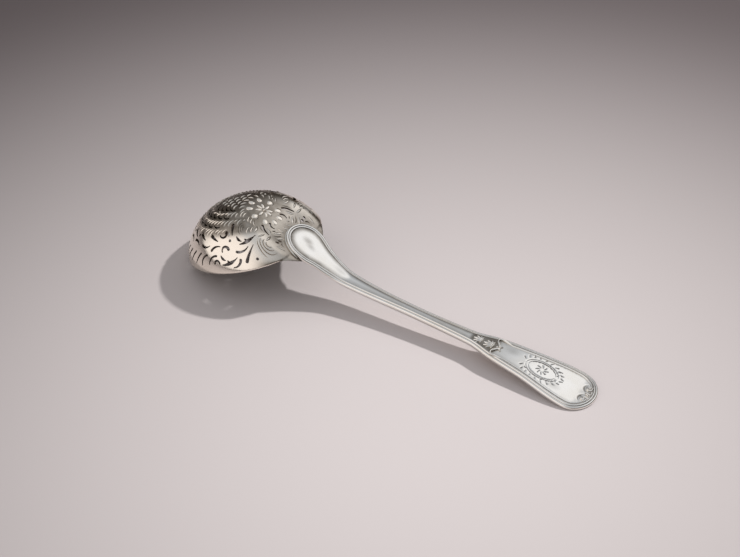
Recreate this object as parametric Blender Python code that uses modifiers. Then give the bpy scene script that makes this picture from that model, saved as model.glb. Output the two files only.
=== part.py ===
"""Sugar sifter spoon in solid silver, lying on a table with its bowl turned down.

A raised bowl is saw-pierced with foliage, a die-struck handle with a threaded border laps
over its heel as a tongue, and a bead of hard solder runs round the tongue.
Units are metres, +Z is up, +X runs from the bowl's tip to the handle's end, and the origin
is under the middle of the spoon on the table.
"""
import functools
import math

import bmesh
import bpy
from mathutils import Matrix, Vector

# Overall size and the way the spoon lies
OVERALL_LENGTH = 0.205
RIM_TILT = math.radians(21.3)

# Bowl: an oval dome, open below, whose rim sinks towards the handle
BOWL_LENGTH = 0.069
BOWL_WIDTH = 0.0582
BOWL_DEPTH = 0.0208
BOWL_WALL = 0.0011
CROWN_POWER = 2.3
SIDE_POWER = 1.5
HEEL_POWER = 1.05
HEEL_FOCUS = 4.0
HEEL_DROP = 0.0063
HEEL_SEAT_WIDTH = 0.008
HEEL_FLARE_WIDTH = 0.036
HEEL_SLOPE_START = 0.0052
HEEL_SLOPE_LENGTH = 0.019

# Handle in plan: widths, and where they lie from the bowl's lip or from the handle's end
TONGUE_REACH = 0.0138
TONGUE_WIDTH = 0.0186
TAPER_WIDTH = 0.0139
TAPER_FROM_LIP = 0.0044
NECK_WIDTH = 0.0092
NECK_FROM_LIP = 0.0184
SHANK_WIDTH = 0.0063
SHANK_FROM_END = 0.085
FOOT_WIDTH = 0.0078
FOOT_FROM_END = 0.059
SHOULDER_WIDTH = 0.0132
SHOULDER_FROM_END = 0.047
WAIST_WIDTH = 0.0170
WAIST_FROM_END = 0.033
FIDDLE_WIDTH = 0.0227
FIDDLE_FROM_END = 0.0105

# Handle in side view: heights of its underside, and its thickness
NECK_HEIGHT = 0.0104
SHANK_HEIGHT = 0.0070
SHOULDER_HEIGHT = 0.0051
WAIST_HEIGHT = 0.0038
FIDDLE_HEIGHT = 0.0003
REST_FROM_END = 0.007
TONGUE_THICKNESS = 0.0014
NECK_THICKNESS = 0.0024
SHANK_THICKNESS = 0.0028
FIDDLE_THICKNESS = 0.0026

# Struck border of the handle: an outer bead and two threads round a sunk field
BEAD_WIDTH = 0.0011
BEAD_DROP = 0.0004
THREADS = 2
THREAD_WIDTH = 0.0006
THREAD_CREST = 0.0001
THREAD_GROOVE = 0.0003
FIELD_DEPTH = 0.0004
EDGE_ROUND = 0.0004
FIELD_SHARE = 0.2

# Soldered joint between the tongue and the bowl
SEAT_GAP = 0.0003
SEAM_RADIUS = 0.00045
SEAM_TO_RIM = 0.0012

# Saw-pierced strokes: length, widths of head, middle and tail, bend, and reach of a side tooth
SLASH = (0.0061, 0.0010, 0.0009, 0.0006, -18.0, 0.0)
SWEEP = (0.0066, 0.0010, 0.0010, 0.0007, -83.0, 0.0)
HOOK = (0.0054, 0.0014, 0.0010, 0.0005, 68.0, 0.0)
SPIKE = (0.0051, 0.0017, 0.0012, 0.0005, -9.0, 0.0)
SCALE = (0.0036, 0.0009, 0.0008, 0.0005, 75.0, 0.0)
SLOT = (0.0060, 0.0010, 0.0009, 0.0006, -35.0, 0.0)
COMMA = (0.0054, 0.0015, 0.0011, 0.0008, 178.0, 0.0)
CURL = (0.0042, 0.0013, 0.0010, 0.0008, 160.0, 0.0)
CRESCENT = (0.0062, 0.0013, 0.0010, 0.0005, 71.0, 0.0)
TENDRIL = (0.0054, 0.0014, 0.0010, 0.0005, 83.0, 0.0)
CLUB = (0.0083, 0.0016, 0.0011, 0.0005, 11.0, 0.0)
BUD = (0.0032, 0.0006, 0.0013, 0.0005, -54.0, 0.0)
LEAF = (0.0086, 0.0005, 0.0017, 0.0004, -43.0, 0.0017)
DOT = (0.0, 0.0014, 0.0014, 0.0014, 0.0, 0.0)
TOOTH_SHARE = 0.4
TOOTH_LEAN = math.radians(12)
TOOTH_TIP = 0.0005
CUT_MARGIN = 0.0008

# Rows of strokes that go round the bowl from its side to its tip:
# stroke, angle from the heel, step, last angle, distance from the rim, heading, turn
ROWS = [
    (SLASH, 108, 9, 171, 0.0086, 45, 1),
    (HOOK, 125, 16, 172, 0.0132, -111, 1),
    (DOT, 121, 19, 166, 0.0161, 0, 1),
    (SPIKE, 98, 19, 172, 0.0172, -59, 1),
    (SCALE, 92, 14, 176, 0.0215, 60, 1),
    (SCALE, 80, 16, 176, 0.0262, 70, 1),
    (SCALE, 70, 22, 160, 0.0310, 80, 1),
]

# Spray on each side and scrolls beside the tongue: stroke, angle, distance from the rim,
# heading from head to tail (0 is rimwards, 90 is towards the tip), turn
SPRAY = [
    (COMMA, 78, 0.0190, -33, 1),
    (DOT, 73, 0.0149, 0, 1),
    (LEAF, 63, 0.0126, -90, 1),
    (BUD, 65, 0.0163, -9, 1),
    (COMMA, 75, 0.0111, 169, -1),
    (CRESCENT, 67, 0.0094, -68, -1),
    (CLUB, 60, 0.0043, -152, 1),
    (DOT, 51, 0.0043, 0, 1),
    (LEAF, 82, 0.0043, -86, 1),
    (BUD, 83, 0.0083, -20, 1),
    (TENDRIL, 65, 0.0055, 9, 1),
    (CURL, 90, 0.0051, -173, 1),
    (SWEEP, 88, 0.0083, 95, 1),
    (SWEEP, 99, 0.0084, 81, 1),
    (HOOK, 94, 0.0107, -148, 1),
    (HOOK, 108, 0.0123, -58, -1),
    (SPIKE, 69, 0.0225, 10, 1),
    (SLOT, 28, 0.0208, 25, 1),
    (SCALE, 15, 0.0232, 44, -1),
    (DOT, 27, 0.0100, 0, 1),
    (DOT, 23, 0.0112, 0, 1),
]

# Facets
BOWL_SEGMENTS = 36
BOWL_RINGS = 9
STROKE_STEPS = 4
STROKE_TURN = 30.0
CAP_STEPS = 3
TONGUE_STEPS = 9
HANDLE_STEPS = 40
END_STEPS = 11
EDGE_STEPS = 2
BEAD_STEPS = 4
SEAT_SAMPLES = 8
MERIDIAN_STEPS = 60
BISECTIONS = 40
SLOPE_STEP = 0.0002
TURN_STEP = 0.004
SHARP_ANGLE = math.radians(35)
MIRROR_WELD = 1e-5
WELD = 1e-7

# Finishes: colour and roughness
RAISED_SILVER = ((0.82, 0.80, 0.77), 0.22)
STRUCK_SILVER = ((0.86, 0.84, 0.80), 0.18)
HARD_SOLDER = ((0.74, 0.71, 0.66), 0.30)


def clear_scene():
    for old in list(bpy.data.objects):
        bpy.data.objects.remove(old, do_unlink=True)


def new_collection(name):
    collection = bpy.data.collections.new(name)
    bpy.context.scene.collection.children.link(collection)
    return collection


def silver(name, finish):
    colour, roughness = finish
    material = bpy.data.materials.new(name)
    material.use_nodes = True
    shader = material.node_tree.nodes["Principled BSDF"]
    shader.inputs["Base Color"].default_value = (*colour, 1.0)
    shader.inputs["Metallic"].default_value = 1.0
    shader.inputs["Roughness"].default_value = roughness
    return material


def mesh_object(name, mesh, collection, parent, material=None):
    data = bpy.data.meshes.new(name)
    mesh.to_mesh(data)
    mesh.free()
    data.shade_smooth()
    data.set_sharp_from_angle(angle=SHARP_ANGLE)
    if material:
        data.materials.append(material)
    made = bpy.data.objects.new(name, data)
    collection.objects.link(made)
    made.parent = parent
    return made


def ease(share):
    share = min(max(share, 0.0), 1.0)
    return share * share * (3.0 - 2.0 * share)


def smooth_curve(stations):
    """A curve through (place, value) stations that never swings past them."""
    steps = [(b[0] - a[0], (b[1] - a[1]) / (b[0] - a[0])) for a, b in zip(stations, stations[1:])]
    slopes = [0.0]
    for (gap_a, rise_a), (gap_b, rise_b) in zip(steps, steps[1:]):
        if rise_a * rise_b <= 0.0:
            slopes.append(0.0)
            continue
        weight_a = 2.0 * gap_b + gap_a
        weight_b = gap_b + 2.0 * gap_a
        slopes.append((weight_a + weight_b) / (weight_a / rise_a + weight_b / rise_b))
    slopes.append(0.0)
    slopes[0] = steps[0][1]

    def value(place):
        if place <= stations[0][0]:
            return stations[0][1]
        for i, (gap, _) in enumerate(steps):
            if place <= stations[i + 1][0]:
                break
        else:
            return stations[-1][1]
        t = (place - stations[i][0]) / gap
        low, high = stations[i][1], stations[i + 1][1]
        blend = t * t * (3.0 - 2.0 * t)
        start = gap * slopes[i] * t * (1.0 - t) ** 2
        end = gap * slopes[i + 1] * t * t * (t - 1.0)
        return low + (high - low) * blend + start + end

    return value


def bowl_point(ring, angle):
    """The bowl's outer surface in its own frame: the rim lies at z 0 and the tip at x 0.

    ring runs from 0 at the crown to 1 at the rim, and angle from 0 at the heel to pi at the tip.
    """
    along = BOWL_LENGTH / 2 * ring * math.cos(angle)
    across = BOWL_WIDTH / 2 * ring * math.sin(angle)
    heelward = ((1.0 + math.cos(angle)) / 2) ** HEEL_FOCUS
    power = SIDE_POWER + (HEEL_POWER - SIDE_POWER) * heelward
    height = BOWL_DEPTH * max(0.0, 1.0 - ring ** CROWN_POWER) ** (1.0 / power)
    flare = (HEEL_FLARE_WIDTH / 2 - abs(across)) / ((HEEL_FLARE_WIDTH - HEEL_SEAT_WIDTH) / 2)
    slope = (along - HEEL_SLOPE_START) / HEEL_SLOPE_LENGTH
    height -= HEEL_DROP * ease(flare) * ease(slope)
    return Vector((BOWL_LENGTH / 2 + along, across, height))


def bowl_normal(ring, angle):
    low = max(ring - TURN_STEP, 0.0)
    high = min(ring + TURN_STEP, 1.0)
    outward = bowl_point(high, angle) - bowl_point(low, angle)
    sideways = bowl_point(ring, angle + TURN_STEP) - bowl_point(ring, angle - TURN_STEP)
    return outward.cross(sideways).normalized()


@functools.lru_cache(maxsize=None)
def bowl_lay():
    """Lays the bowl's frame on the table: the rim tips up from the foremost point to the heel."""
    turn = Matrix.Rotation(-RIM_TILT, 4, "Y")
    rings = [i / MERIDIAN_STEPS for i in range(MERIDIAN_STEPS + 1)]
    foremost = min((turn @ bowl_point(ring, math.pi)).x for ring in rings)
    return Matrix.Translation((-foremost, 0.0, 0.0)) @ turn


def bowl_top(x, y):
    """Height of the bowl's back over a place near the heel, or None past its lip."""
    lay = bowl_lay()
    half_length, half_width = BOWL_LENGTH / 2, BOWL_WIDTH / 2
    if abs(y) >= half_width:
        return None
    near, far = 0.0, half_length * math.sqrt(1.0 - (y / half_width) ** 2)

    def laid(along):
        ring = min(math.hypot(along / half_length, y / half_width), 1.0)
        return lay @ bowl_point(ring, math.atan2(y / half_width, along / half_length))

    if x > laid(far).x:
        return None
    for _ in range(BISECTIONS):
        middle = (near + far) / 2
        if laid(middle).x < x:
            near = middle
        else:
            far = middle
    return laid(far).z


def lip_place():
    return (bowl_lay() @ bowl_point(1.0, 0.0)).x


def handle_half_width():
    """Half width of the handle between the tongue's and the fiddle's widest lines."""
    lip = lip_place()
    return smooth_curve([
        (lip - TONGUE_REACH + TONGUE_WIDTH / 2, TONGUE_WIDTH / 2),
        (lip + TAPER_FROM_LIP, TAPER_WIDTH / 2),
        (lip + NECK_FROM_LIP, NECK_WIDTH / 2),
        (OVERALL_LENGTH - SHANK_FROM_END, SHANK_WIDTH / 2),
        (OVERALL_LENGTH - FOOT_FROM_END, FOOT_WIDTH / 2),
        (OVERALL_LENGTH - SHOULDER_FROM_END, SHOULDER_WIDTH / 2),
        (OVERALL_LENGTH - WAIST_FROM_END, WAIST_WIDTH / 2),
        (OVERALL_LENGTH - FIDDLE_FROM_END, FIDDLE_WIDTH / 2),
    ])


def handle_underside():
    """Underside of the handle: seated over the bowl's heel, then arching down to the table."""
    lip = lip_place()
    half_width = handle_half_width()
    stations = []
    for i in range(SEAT_SAMPLES + 1):
        x = lip - TONGUE_REACH * (1.0 - i / SEAT_SAMPLES)
        reach = half_width(x)
        tops = [bowl_top(x, reach * j / SEAT_SAMPLES) for j in range(SEAT_SAMPLES + 1)]
        stations.append((x, max(top for top in tops if top is not None) + SEAT_GAP))
    stations += [
        (lip + NECK_FROM_LIP, NECK_HEIGHT),
        (OVERALL_LENGTH - SHANK_FROM_END, SHANK_HEIGHT),
        (OVERALL_LENGTH - SHOULDER_FROM_END, SHOULDER_HEIGHT),
        (OVERALL_LENGTH - WAIST_FROM_END, WAIST_HEIGHT),
        (OVERALL_LENGTH - FIDDLE_FROM_END, FIDDLE_HEIGHT),
        (OVERALL_LENGTH - REST_FROM_END, 0.0),
    ]
    return smooth_curve(stations)


def handle_thickness():
    lip = lip_place()
    return smooth_curve([
        (lip, TONGUE_THICKNESS),
        (lip + NECK_FROM_LIP, NECK_THICKNESS),
        (OVERALL_LENGTH - SHANK_FROM_END, SHANK_THICKNESS),
        (OVERALL_LENGTH - WAIST_FROM_END, FIDDLE_THICKNESS),
    ])


def handle_outline():
    """Half outline in plan from the tongue's end to the handle's end, and the width it bounds."""
    half_width = handle_half_width()
    start = lip_place() - TONGUE_REACH + TONGUE_WIDTH / 2
    stop = OVERALL_LENGTH - FIDDLE_FROM_END
    points = []
    for i in range(TONGUE_STEPS):
        turn = math.pi / 2 * i / TONGUE_STEPS
        points.append(Vector((-math.cos(turn), math.sin(turn))) * TONGUE_WIDTH / 2)
        points[-1].x += start
    for i in range(HANDLE_STEPS):
        x = start + (stop - start) * i / HANDLE_STEPS
        points.append(Vector((x, half_width(x))))
    for i in range(END_STEPS + 1):
        turn = math.pi / 2 * i / END_STEPS
        across = FIDDLE_WIDTH / 2 * math.cos(turn)
        points.append(Vector((stop + FIDDLE_FROM_END * math.sin(turn), across)))
    points[-1].y = 0.0
    widths = [half_width(min(max(point.x, start), stop)) for point in points]
    return points, widths


def outline_normals(points):
    """Outward normals of the half outline, square to the axis at its two ends."""
    normals = [Vector((-1.0, 0.0))]
    for before, after in zip(points, points[2:]):
        run = (after - before).normalized()
        normals.append(Vector((-run.y, run.x)))
    normals.append(Vector((1.0, 0.0)))
    return normals


def border_profile():
    """Rows of the handle's section from its underside up: inset, and height from below or above."""
    rows = []
    for i in range(EDGE_STEPS + 1):
        turn = math.pi / 2 * i / EDGE_STEPS
        rows.append((EDGE_ROUND * (1.0 - math.sin(turn)), "below", EDGE_ROUND * (1.0 - math.cos(turn))))
    for i in range(BEAD_STEPS):
        turn = math.pi * i / BEAD_STEPS
        inset = BEAD_WIDTH * (1.0 - math.cos(turn)) / 2
        rows.append((inset, "above", BEAD_DROP * (1.0 - math.sin(turn))))
    inset = BEAD_WIDTH
    for _ in range(THREADS):
        rows.append((inset, "above", THREAD_GROOVE))
        rows.append((inset + THREAD_WIDTH / 2, "above", THREAD_CREST))
        inset += THREAD_WIDTH
    rows.append((inset, "above", FIELD_DEPTH))
    return rows


def handle_mesh():
    """Loft of the border's rows round the half outline, open on the mirror plane."""
    underside, thickness = handle_underside(), handle_thickness()
    points, widths = handle_outline()
    normals = outline_normals(points)
    profile = border_profile()
    border = profile[-1][0]
    rows = []
    for inset, side, offset in profile:
        row = []
        for point, normal, width in zip(points, normals, widths):
            squeeze = min(1.0, width * (1.0 - FIELD_SHARE) / border)
            place = point - normal * inset * squeeze
            low = underside(place.x)
            height = low + offset if side == "below" else low + thickness(place.x) - offset
            row.append(Vector((place.x, place.y, height)))
        rows.append(row)
    flat = [Vector((p.x, 0.0, p.z)) for p in rows[0]]
    field = [Vector((p.x, 0.0, p.z)) for p in rows[-1]]
    mesh = bmesh.new()
    grid = [[mesh.verts.new(p) for p in row] for row in [flat, *rows, field]]
    for low, high in zip(grid, grid[1:]):
        for i in range(len(low) - 1):
            mesh.faces.new((low[i], high[i], high[i + 1], low[i + 1]))
    bmesh.ops.remove_doubles(mesh, verts=mesh.verts, dist=WELD)
    return mesh


def make_handle(collection, spoon):
    handle = mesh_object("handle", handle_mesh(), collection, spoon,
                         silver("struck_silver", STRUCK_SILVER))
    mirror = handle.modifiers.new("other_half", "MIRROR")
    mirror.use_axis = (False, True, False)
    mirror.merge_threshold = MIRROR_WELD
    return handle


def bowl_mesh():
    """Half a sphere, its rings and segments drawn out to the bowl's surface."""
    mesh = bmesh.new()
    bmesh.ops.create_uvsphere(mesh, u_segments=BOWL_SEGMENTS, v_segments=2 * BOWL_RINGS, radius=1.0)
    lower = [vert for vert in mesh.verts if vert.co.z < -WELD]
    bmesh.ops.delete(mesh, geom=lower, context="VERTS")
    for vert in mesh.verts:
        ring = 1.0 if vert.co.z < WELD else min(math.hypot(vert.co.x, vert.co.y), 1.0)
        vert.co = bowl_point(ring, math.atan2(vert.co.y, vert.co.x))
    return mesh


def pointing(angle):
    return Vector((math.cos(angle), math.sin(angle)))


def tooth_tip(root, heading, reach, hollow):
    """Blunt tip of a leaf's tooth, which leans back from the hollow side of its bend."""
    lean = heading + hollow * (math.pi / 2 + TOOTH_LEAN)
    tip = root + pointing(lean) * reach
    headward = pointing(lean + hollow * math.pi / 2) * TOOTH_TIP / 2
    return [tip + headward, tip - headward]


def stroke_outline(stroke, turn):
    """Outline of a stroke: a bent spine from a round head at the origin to a narrow tail."""
    length, head, middle, tail, bend, tooth = stroke
    if length == 0.0:
        around = 2 * (CAP_STEPS + 1)
        return [pointing(2 * math.pi * i / around) * head / 2 for i in range(around)]
    steps = max(STROKE_STEPS, math.ceil(abs(bend) / STROKE_TURN))
    step = length / steps
    bend = math.radians(bend) * turn
    width = smooth_curve([(0.0, head), (0.5, middle), (1.0, tail)])
    left, right = [], []
    place, heading = Vector((0.0, 0.0)), 0.0
    for i in range(steps + 1):
        side = pointing(heading + math.pi / 2) * width(i / steps) / 2
        left.append(place + side)
        right.append(place - side)
        past = TOOTH_SHARE * steps - i
        if tooth and 0.0 <= past < 1.0:
            hollow = math.copysign(1.0, bend)
            inner = left if hollow > 0.0 else right
            inner += tooth_tip(place + pointing(heading) * step * past, heading, tooth, hollow)
        heading += bend / steps
        place = place + pointing(heading) * step
    cap = [pointing(math.pi / 2 + math.pi * i / CAP_STEPS) * head / 2 for i in range(1, CAP_STEPS)]
    return cap + right + left[::-1]


def flat_cutter(outline, collection):
    """A filled 2D curve with the outline, drawn out both ways, as a welded mesh."""
    curve = bpy.data.curves.new("stroke", "CURVE")
    curve.dimensions = "2D"
    curve.fill_mode = "BOTH"
    curve.extrude = BOWL_WALL / 2 + CUT_MARGIN
    spline = curve.splines.new("POLY")
    spline.points.add(len(outline) - 1)
    for point, place in zip(spline.points, outline):
        point.co = (place.x, place.y, 0.0, 1.0)
    spline.use_cyclic_u = True
    drawn = bpy.data.objects.new("stroke", curve)
    collection.objects.link(drawn)
    depsgraph = bpy.context.evaluated_depsgraph_get()
    data = bpy.data.meshes.new_from_object(drawn.evaluated_get(depsgraph))
    bpy.data.objects.remove(drawn, do_unlink=True)
    bpy.data.curves.remove(curve)
    return data


def ring_lookup(angle):
    """For one meridian: the ring at a distance from the rim, measured along the wall."""
    rings = [1.0 - (i / MERIDIAN_STEPS) ** 2 for i in range(MERIDIAN_STEPS + 1)]
    places = [bowl_point(ring, angle) for ring in rings]
    stations = [(0.0, rings[0])]
    for before, after, ring in zip(places, places[1:], rings[1:]):
        stations.append((stations[-1][0] + (after - before).length, ring))

    def ring_at(distance):
        for (near, ring_near), (far, ring_far) in zip(stations, stations[1:]):
            if distance <= far:
                share = max(distance - near, 0.0) / (far - near)
                return ring_near + (ring_far - ring_near) * share
        return 0.0

    return ring_at


def wrap_stroke(mesh, data, angle, distance, heading, mirrored):
    """Adds a flat cutter to the mesh, wrapped square through the bowl's wall at its place."""
    first = len(mesh.verts)
    mesh.from_mesh(data)
    mesh.verts.ensure_lookup_table()
    ring_at = ring_lookup(angle)
    cos, sin = math.cos(heading), math.sin(heading)
    for vert in mesh.verts[first:]:
        rimward = vert.co.x * cos - vert.co.y * sin
        sideways = vert.co.x * sin + vert.co.y * cos
        ring = ring_at(distance - rimward)
        reach = math.hypot(BOWL_LENGTH / 2 * math.sin(angle), BOWL_WIDTH / 2 * math.cos(angle))
        around = angle + sideways / (reach * ring)
        depth = vert.co.z - BOWL_WALL / 2
        place = bowl_point(ring, around) + bowl_normal(ring, around) * depth
        vert.co = Vector((place.x, -place.y if mirrored else place.y, place.z))


def piercing_layout():
    """Every stroke on one side of the bowl: stroke, angle, distance, heading and turn."""
    layout = [(s, math.radians(a), d, math.radians(h), t) for s, a, d, h, t in SPRAY]
    for stroke, first, step, last, distance, heading, turn in ROWS:
        for angle in range(first, last, step):
            layout.append((stroke, math.radians(angle), distance, math.radians(heading), turn))
    return layout


def make_piercings(cutters, spoon):
    mesh = bmesh.new()
    shapes = {}
    for stroke, angle, distance, heading, turn in piercing_layout():
        if (stroke, turn) not in shapes:
            shapes[stroke, turn] = flat_cutter(stroke_outline(stroke, turn), cutters)
        for mirrored in (False, True):
            wrap_stroke(mesh, shapes[stroke, turn], angle, distance, heading, mirrored)
    for data in shapes.values():
        bpy.data.meshes.remove(data)
    bmesh.ops.remove_doubles(mesh, verts=mesh.verts, dist=WELD)
    bmesh.ops.recalc_face_normals(mesh, faces=mesh.faces)
    piercings = mesh_object("piercings", mesh, cutters, spoon)
    piercings.hide_render = True
    piercings.display_type = "WIRE"
    return piercings


def make_bowl(collection, cutters, spoon):
    bowl = mesh_object("pierced_bowl", bowl_mesh(), collection, spoon,
                       silver("raised_silver", RAISED_SILVER))
    wall = bowl.modifiers.new("wall", "SOLIDIFY")
    wall.thickness = BOWL_WALL
    wall.offset = -1.0
    wall.use_even_offset = True
    bowl.modifiers.new("flat_facets", "TRIANGULATE")
    piercings = make_piercings(cutters, spoon)
    cut = bowl.modifiers.new("piercing", "BOOLEAN")
    cut.operation = "DIFFERENCE"
    cut.solver = "EXACT"
    cut.use_self = True
    cut.object = piercings
    for laid in (bowl, piercings):
        laid.matrix_local = bowl_lay()
    return bowl


def seam_path():
    """Where the solder lies: in the corner between the tongue's edge and the bowl's back."""
    points, _ = handle_outline()
    clear = SEAT_GAP + SEAM_RADIUS
    side = []
    for point, normal in zip(points, outline_normals(points)):
        place = point + normal * clear
        ahead = bowl_top(place.x + SEAM_TO_RIM, place.y)
        if ahead is None:
            break
        here = bowl_top(place.x, place.y)
        slope_x = (bowl_top(place.x + SLOPE_STEP, place.y) - here) / SLOPE_STEP
        slope_y = (bowl_top(place.x, place.y + SLOPE_STEP) - here) / SLOPE_STEP
        lift = clear * math.sqrt(1.0 + slope_x ** 2 + slope_y ** 2)
        side.append(Vector((place.x, place.y, here + lift)))
    return [Vector((p.x, -p.y, p.z)) for p in side[:0:-1]] + side


def make_seam(collection, spoon):
    curve = bpy.data.curves.new("heel_solder_seam", "CURVE")
    curve.dimensions = "3D"
    curve.bevel_depth = SEAM_RADIUS
    curve.bevel_resolution = 2
    curve.use_fill_caps = True
    path = seam_path()
    spline = curve.splines.new("POLY")
    spline.points.add(len(path) - 1)
    for point, place in zip(spline.points, path):
        point.co = (*place, 1.0)
    curve.materials.append(silver("hard_solder", HARD_SOLDER))
    seam = bpy.data.objects.new("heel_solder_seam", curve)
    collection.objects.link(seam)
    seam.parent = spoon
    return seam


def main():
    clear_scene()
    parts = new_collection("sugar_sifter_spoon")
    cutters = new_collection("cutters")
    spoon = bpy.data.objects.new("spoon_on_table", None)
    parts.objects.link(spoon)
    spoon.location = (-OVERALL_LENGTH / 2, 0.0, 0.0)
    make_bowl(parts, cutters, spoon)
    make_handle(parts, spoon)
    make_seam(parts, spoon)


main()
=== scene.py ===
"""Finish of a silver sugar sifter spoon: pierced and engraved bowl, struck handle, solder and table.

Run as a script, it dresses the spoon's frame. Its sizes and colours are in the property groups,
and each operator makes one piece or the stage. Units are metres.
"""

import math
from functools import partial
from typing import NamedTuple

import bmesh
import bpy
import numpy as np
from bpy.props import FloatProperty, FloatVectorProperty, PointerProperty
from mathutils import Matrix, Vector
from mathutils.geometry import delaunay_2d_cdt
from mathutils.kdtree import KDTree


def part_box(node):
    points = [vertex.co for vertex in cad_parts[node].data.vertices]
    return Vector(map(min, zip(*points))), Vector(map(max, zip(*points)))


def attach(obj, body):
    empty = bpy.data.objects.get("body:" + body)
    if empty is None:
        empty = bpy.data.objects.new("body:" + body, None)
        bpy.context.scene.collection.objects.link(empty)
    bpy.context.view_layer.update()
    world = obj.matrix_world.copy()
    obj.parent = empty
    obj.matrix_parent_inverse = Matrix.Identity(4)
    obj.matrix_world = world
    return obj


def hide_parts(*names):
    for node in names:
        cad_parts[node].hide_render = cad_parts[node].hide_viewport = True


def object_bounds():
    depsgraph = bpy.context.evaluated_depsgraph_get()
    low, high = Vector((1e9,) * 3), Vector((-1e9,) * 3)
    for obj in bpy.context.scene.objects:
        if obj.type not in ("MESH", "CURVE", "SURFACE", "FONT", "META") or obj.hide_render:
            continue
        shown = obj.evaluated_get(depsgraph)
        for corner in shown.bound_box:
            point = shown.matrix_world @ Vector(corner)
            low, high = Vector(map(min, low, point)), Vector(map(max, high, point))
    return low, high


bl_info = {
    "name": "Sugar Sifter Spoon",
    "version": (1, 0, 0),
    "blender": (4, 5, 0),
    "location": "3D View > Sidebar > Sifter",
    "description": "Dresses a sugar sifter spoon in pierced, engraved and struck silver",
    "category": "Object",
}

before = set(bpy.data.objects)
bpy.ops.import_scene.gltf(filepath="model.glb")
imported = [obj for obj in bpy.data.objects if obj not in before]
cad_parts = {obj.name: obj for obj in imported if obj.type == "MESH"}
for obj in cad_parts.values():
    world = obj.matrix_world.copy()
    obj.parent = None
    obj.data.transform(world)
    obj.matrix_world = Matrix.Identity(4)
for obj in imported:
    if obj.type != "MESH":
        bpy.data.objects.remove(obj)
CAD_LOW, CAD_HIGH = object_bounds()
BOWL_LOW, BOWL_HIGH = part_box("pierced_bowl")
BODY = "root"
SIDES = (1.0, -1.0)

# Form of the bowl, as its solid has it
CROWN_POWER = 2.3
SIDE_POWER = 1.5
HEEL_POWER = 1.05
HEEL_FOCUS = 4.0
HEEL_DROP = 0.0063
HEEL_SEAT_WIDTH = 0.008
HEEL_FLARE_WIDTH = 0.036
HEEL_SLOPE_START = 0.0052
HEEL_SLOPE_LENGTH = 0.019
RIM_ROUND = 0.0005
RIM_EASE = 0.0002
RIM_LOOPS = (0.00025, 0.0005, 0.0010, 0.0016)


class Stroke(NamedTuple):
    """A saw-pierced stroke, with its widths, its bend in degrees and the reach of a side tooth."""

    length: float
    head: float
    middle: float
    tail: float
    bend: float
    tooth: float = 0.0


# Saw-pierced strokes, as the bowl's solid has them
SLASH = Stroke(0.0061, 0.0010, 0.0009, 0.0006, -18.0)
SWEEP = Stroke(0.0066, 0.0010, 0.0010, 0.0007, -83.0)
HOOK = Stroke(0.0054, 0.0014, 0.0010, 0.0005, 68.0)
SPIKE = Stroke(0.0051, 0.0017, 0.0012, 0.0005, -9.0)
SCALE = Stroke(0.0036, 0.0009, 0.0008, 0.0005, 75.0)
SLOT = Stroke(0.0060, 0.0010, 0.0009, 0.0006, -35.0)
COMMA = Stroke(0.0054, 0.0015, 0.0011, 0.0008, 178.0)
CURL = Stroke(0.0042, 0.0013, 0.0010, 0.0008, 160.0)
CRESCENT = Stroke(0.0062, 0.0013, 0.0010, 0.0005, 71.0)
TENDRIL = Stroke(0.0054, 0.0014, 0.0010, 0.0005, 83.0)
CLUB = Stroke(0.0083, 0.0016, 0.0011, 0.0005, 11.0)
BUD = Stroke(0.0032, 0.0006, 0.0013, 0.0005, -54.0)
LEAF = Stroke(0.0086, 0.0005, 0.0017, 0.0004, -43.0, 0.0017)
DOT = Stroke(0.0, 0.0014, 0.0014, 0.0014, 0.0)
TOOTH_SHARE = 0.4
TOOTH_LEAN = math.radians(12)
TOOTH_TIP = 0.0005

# Rows of strokes that go round the bowl from its side to its tip:
# stroke, angle from the heel, step, last angle, distance from the rim, heading
ROWS = [
    (SLASH, 108, 9, 171, 0.0086, 45),
    (HOOK, 125, 16, 172, 0.0132, -111),
    (DOT, 121, 19, 166, 0.0161, 0),
    (SPIKE, 98, 19, 172, 0.0172, -59),
    (SCALE, 92, 14, 176, 0.0215, 60),
    (SCALE, 80, 16, 176, 0.0262, 70),
    (SCALE, 70, 22, 160, 0.0310, 80),
]

# Spray on each side and scrolls beside the tongue: stroke, angle, distance from the rim,
# heading from head to tail (0 is rimwards, 90 is towards the tip), turn
SPRAY = [
    (COMMA, 78, 0.0190, -33, 1),
    (DOT, 73, 0.0149, 0, 1),
    (LEAF, 63, 0.0126, -90, 1),
    (BUD, 65, 0.0163, -9, 1),
    (COMMA, 75, 0.0111, 169, -1),
    (CRESCENT, 67, 0.0094, -68, -1),
    (CLUB, 60, 0.0043, -152, 1),
    (DOT, 51, 0.0043, 0, 1),
    (LEAF, 82, 0.0043, -86, 1),
    (BUD, 83, 0.0083, -20, 1),
    (TENDRIL, 65, 0.0055, 9, 1),
    (CURL, 90, 0.0051, -173, 1),
    (SWEEP, 88, 0.0083, 95, 1),
    (SWEEP, 99, 0.0084, 81, 1),
    (HOOK, 94, 0.0107, -148, 1),
    (HOOK, 108, 0.0123, -58, -1),
    (SPIKE, 69, 0.0225, 10, 1),
    (SLOT, 28, 0.0208, 25, 1),
    (SCALE, 15, 0.0232, 44, -1),
    (DOT, 27, 0.0100, 0, 1),
    (DOT, 23, 0.0112, 0, 1),
]

# Engraving on the bowl's back, from its middle: along is heelwards, across is outwards
FLOWER_ALONG = 0.0135
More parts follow.
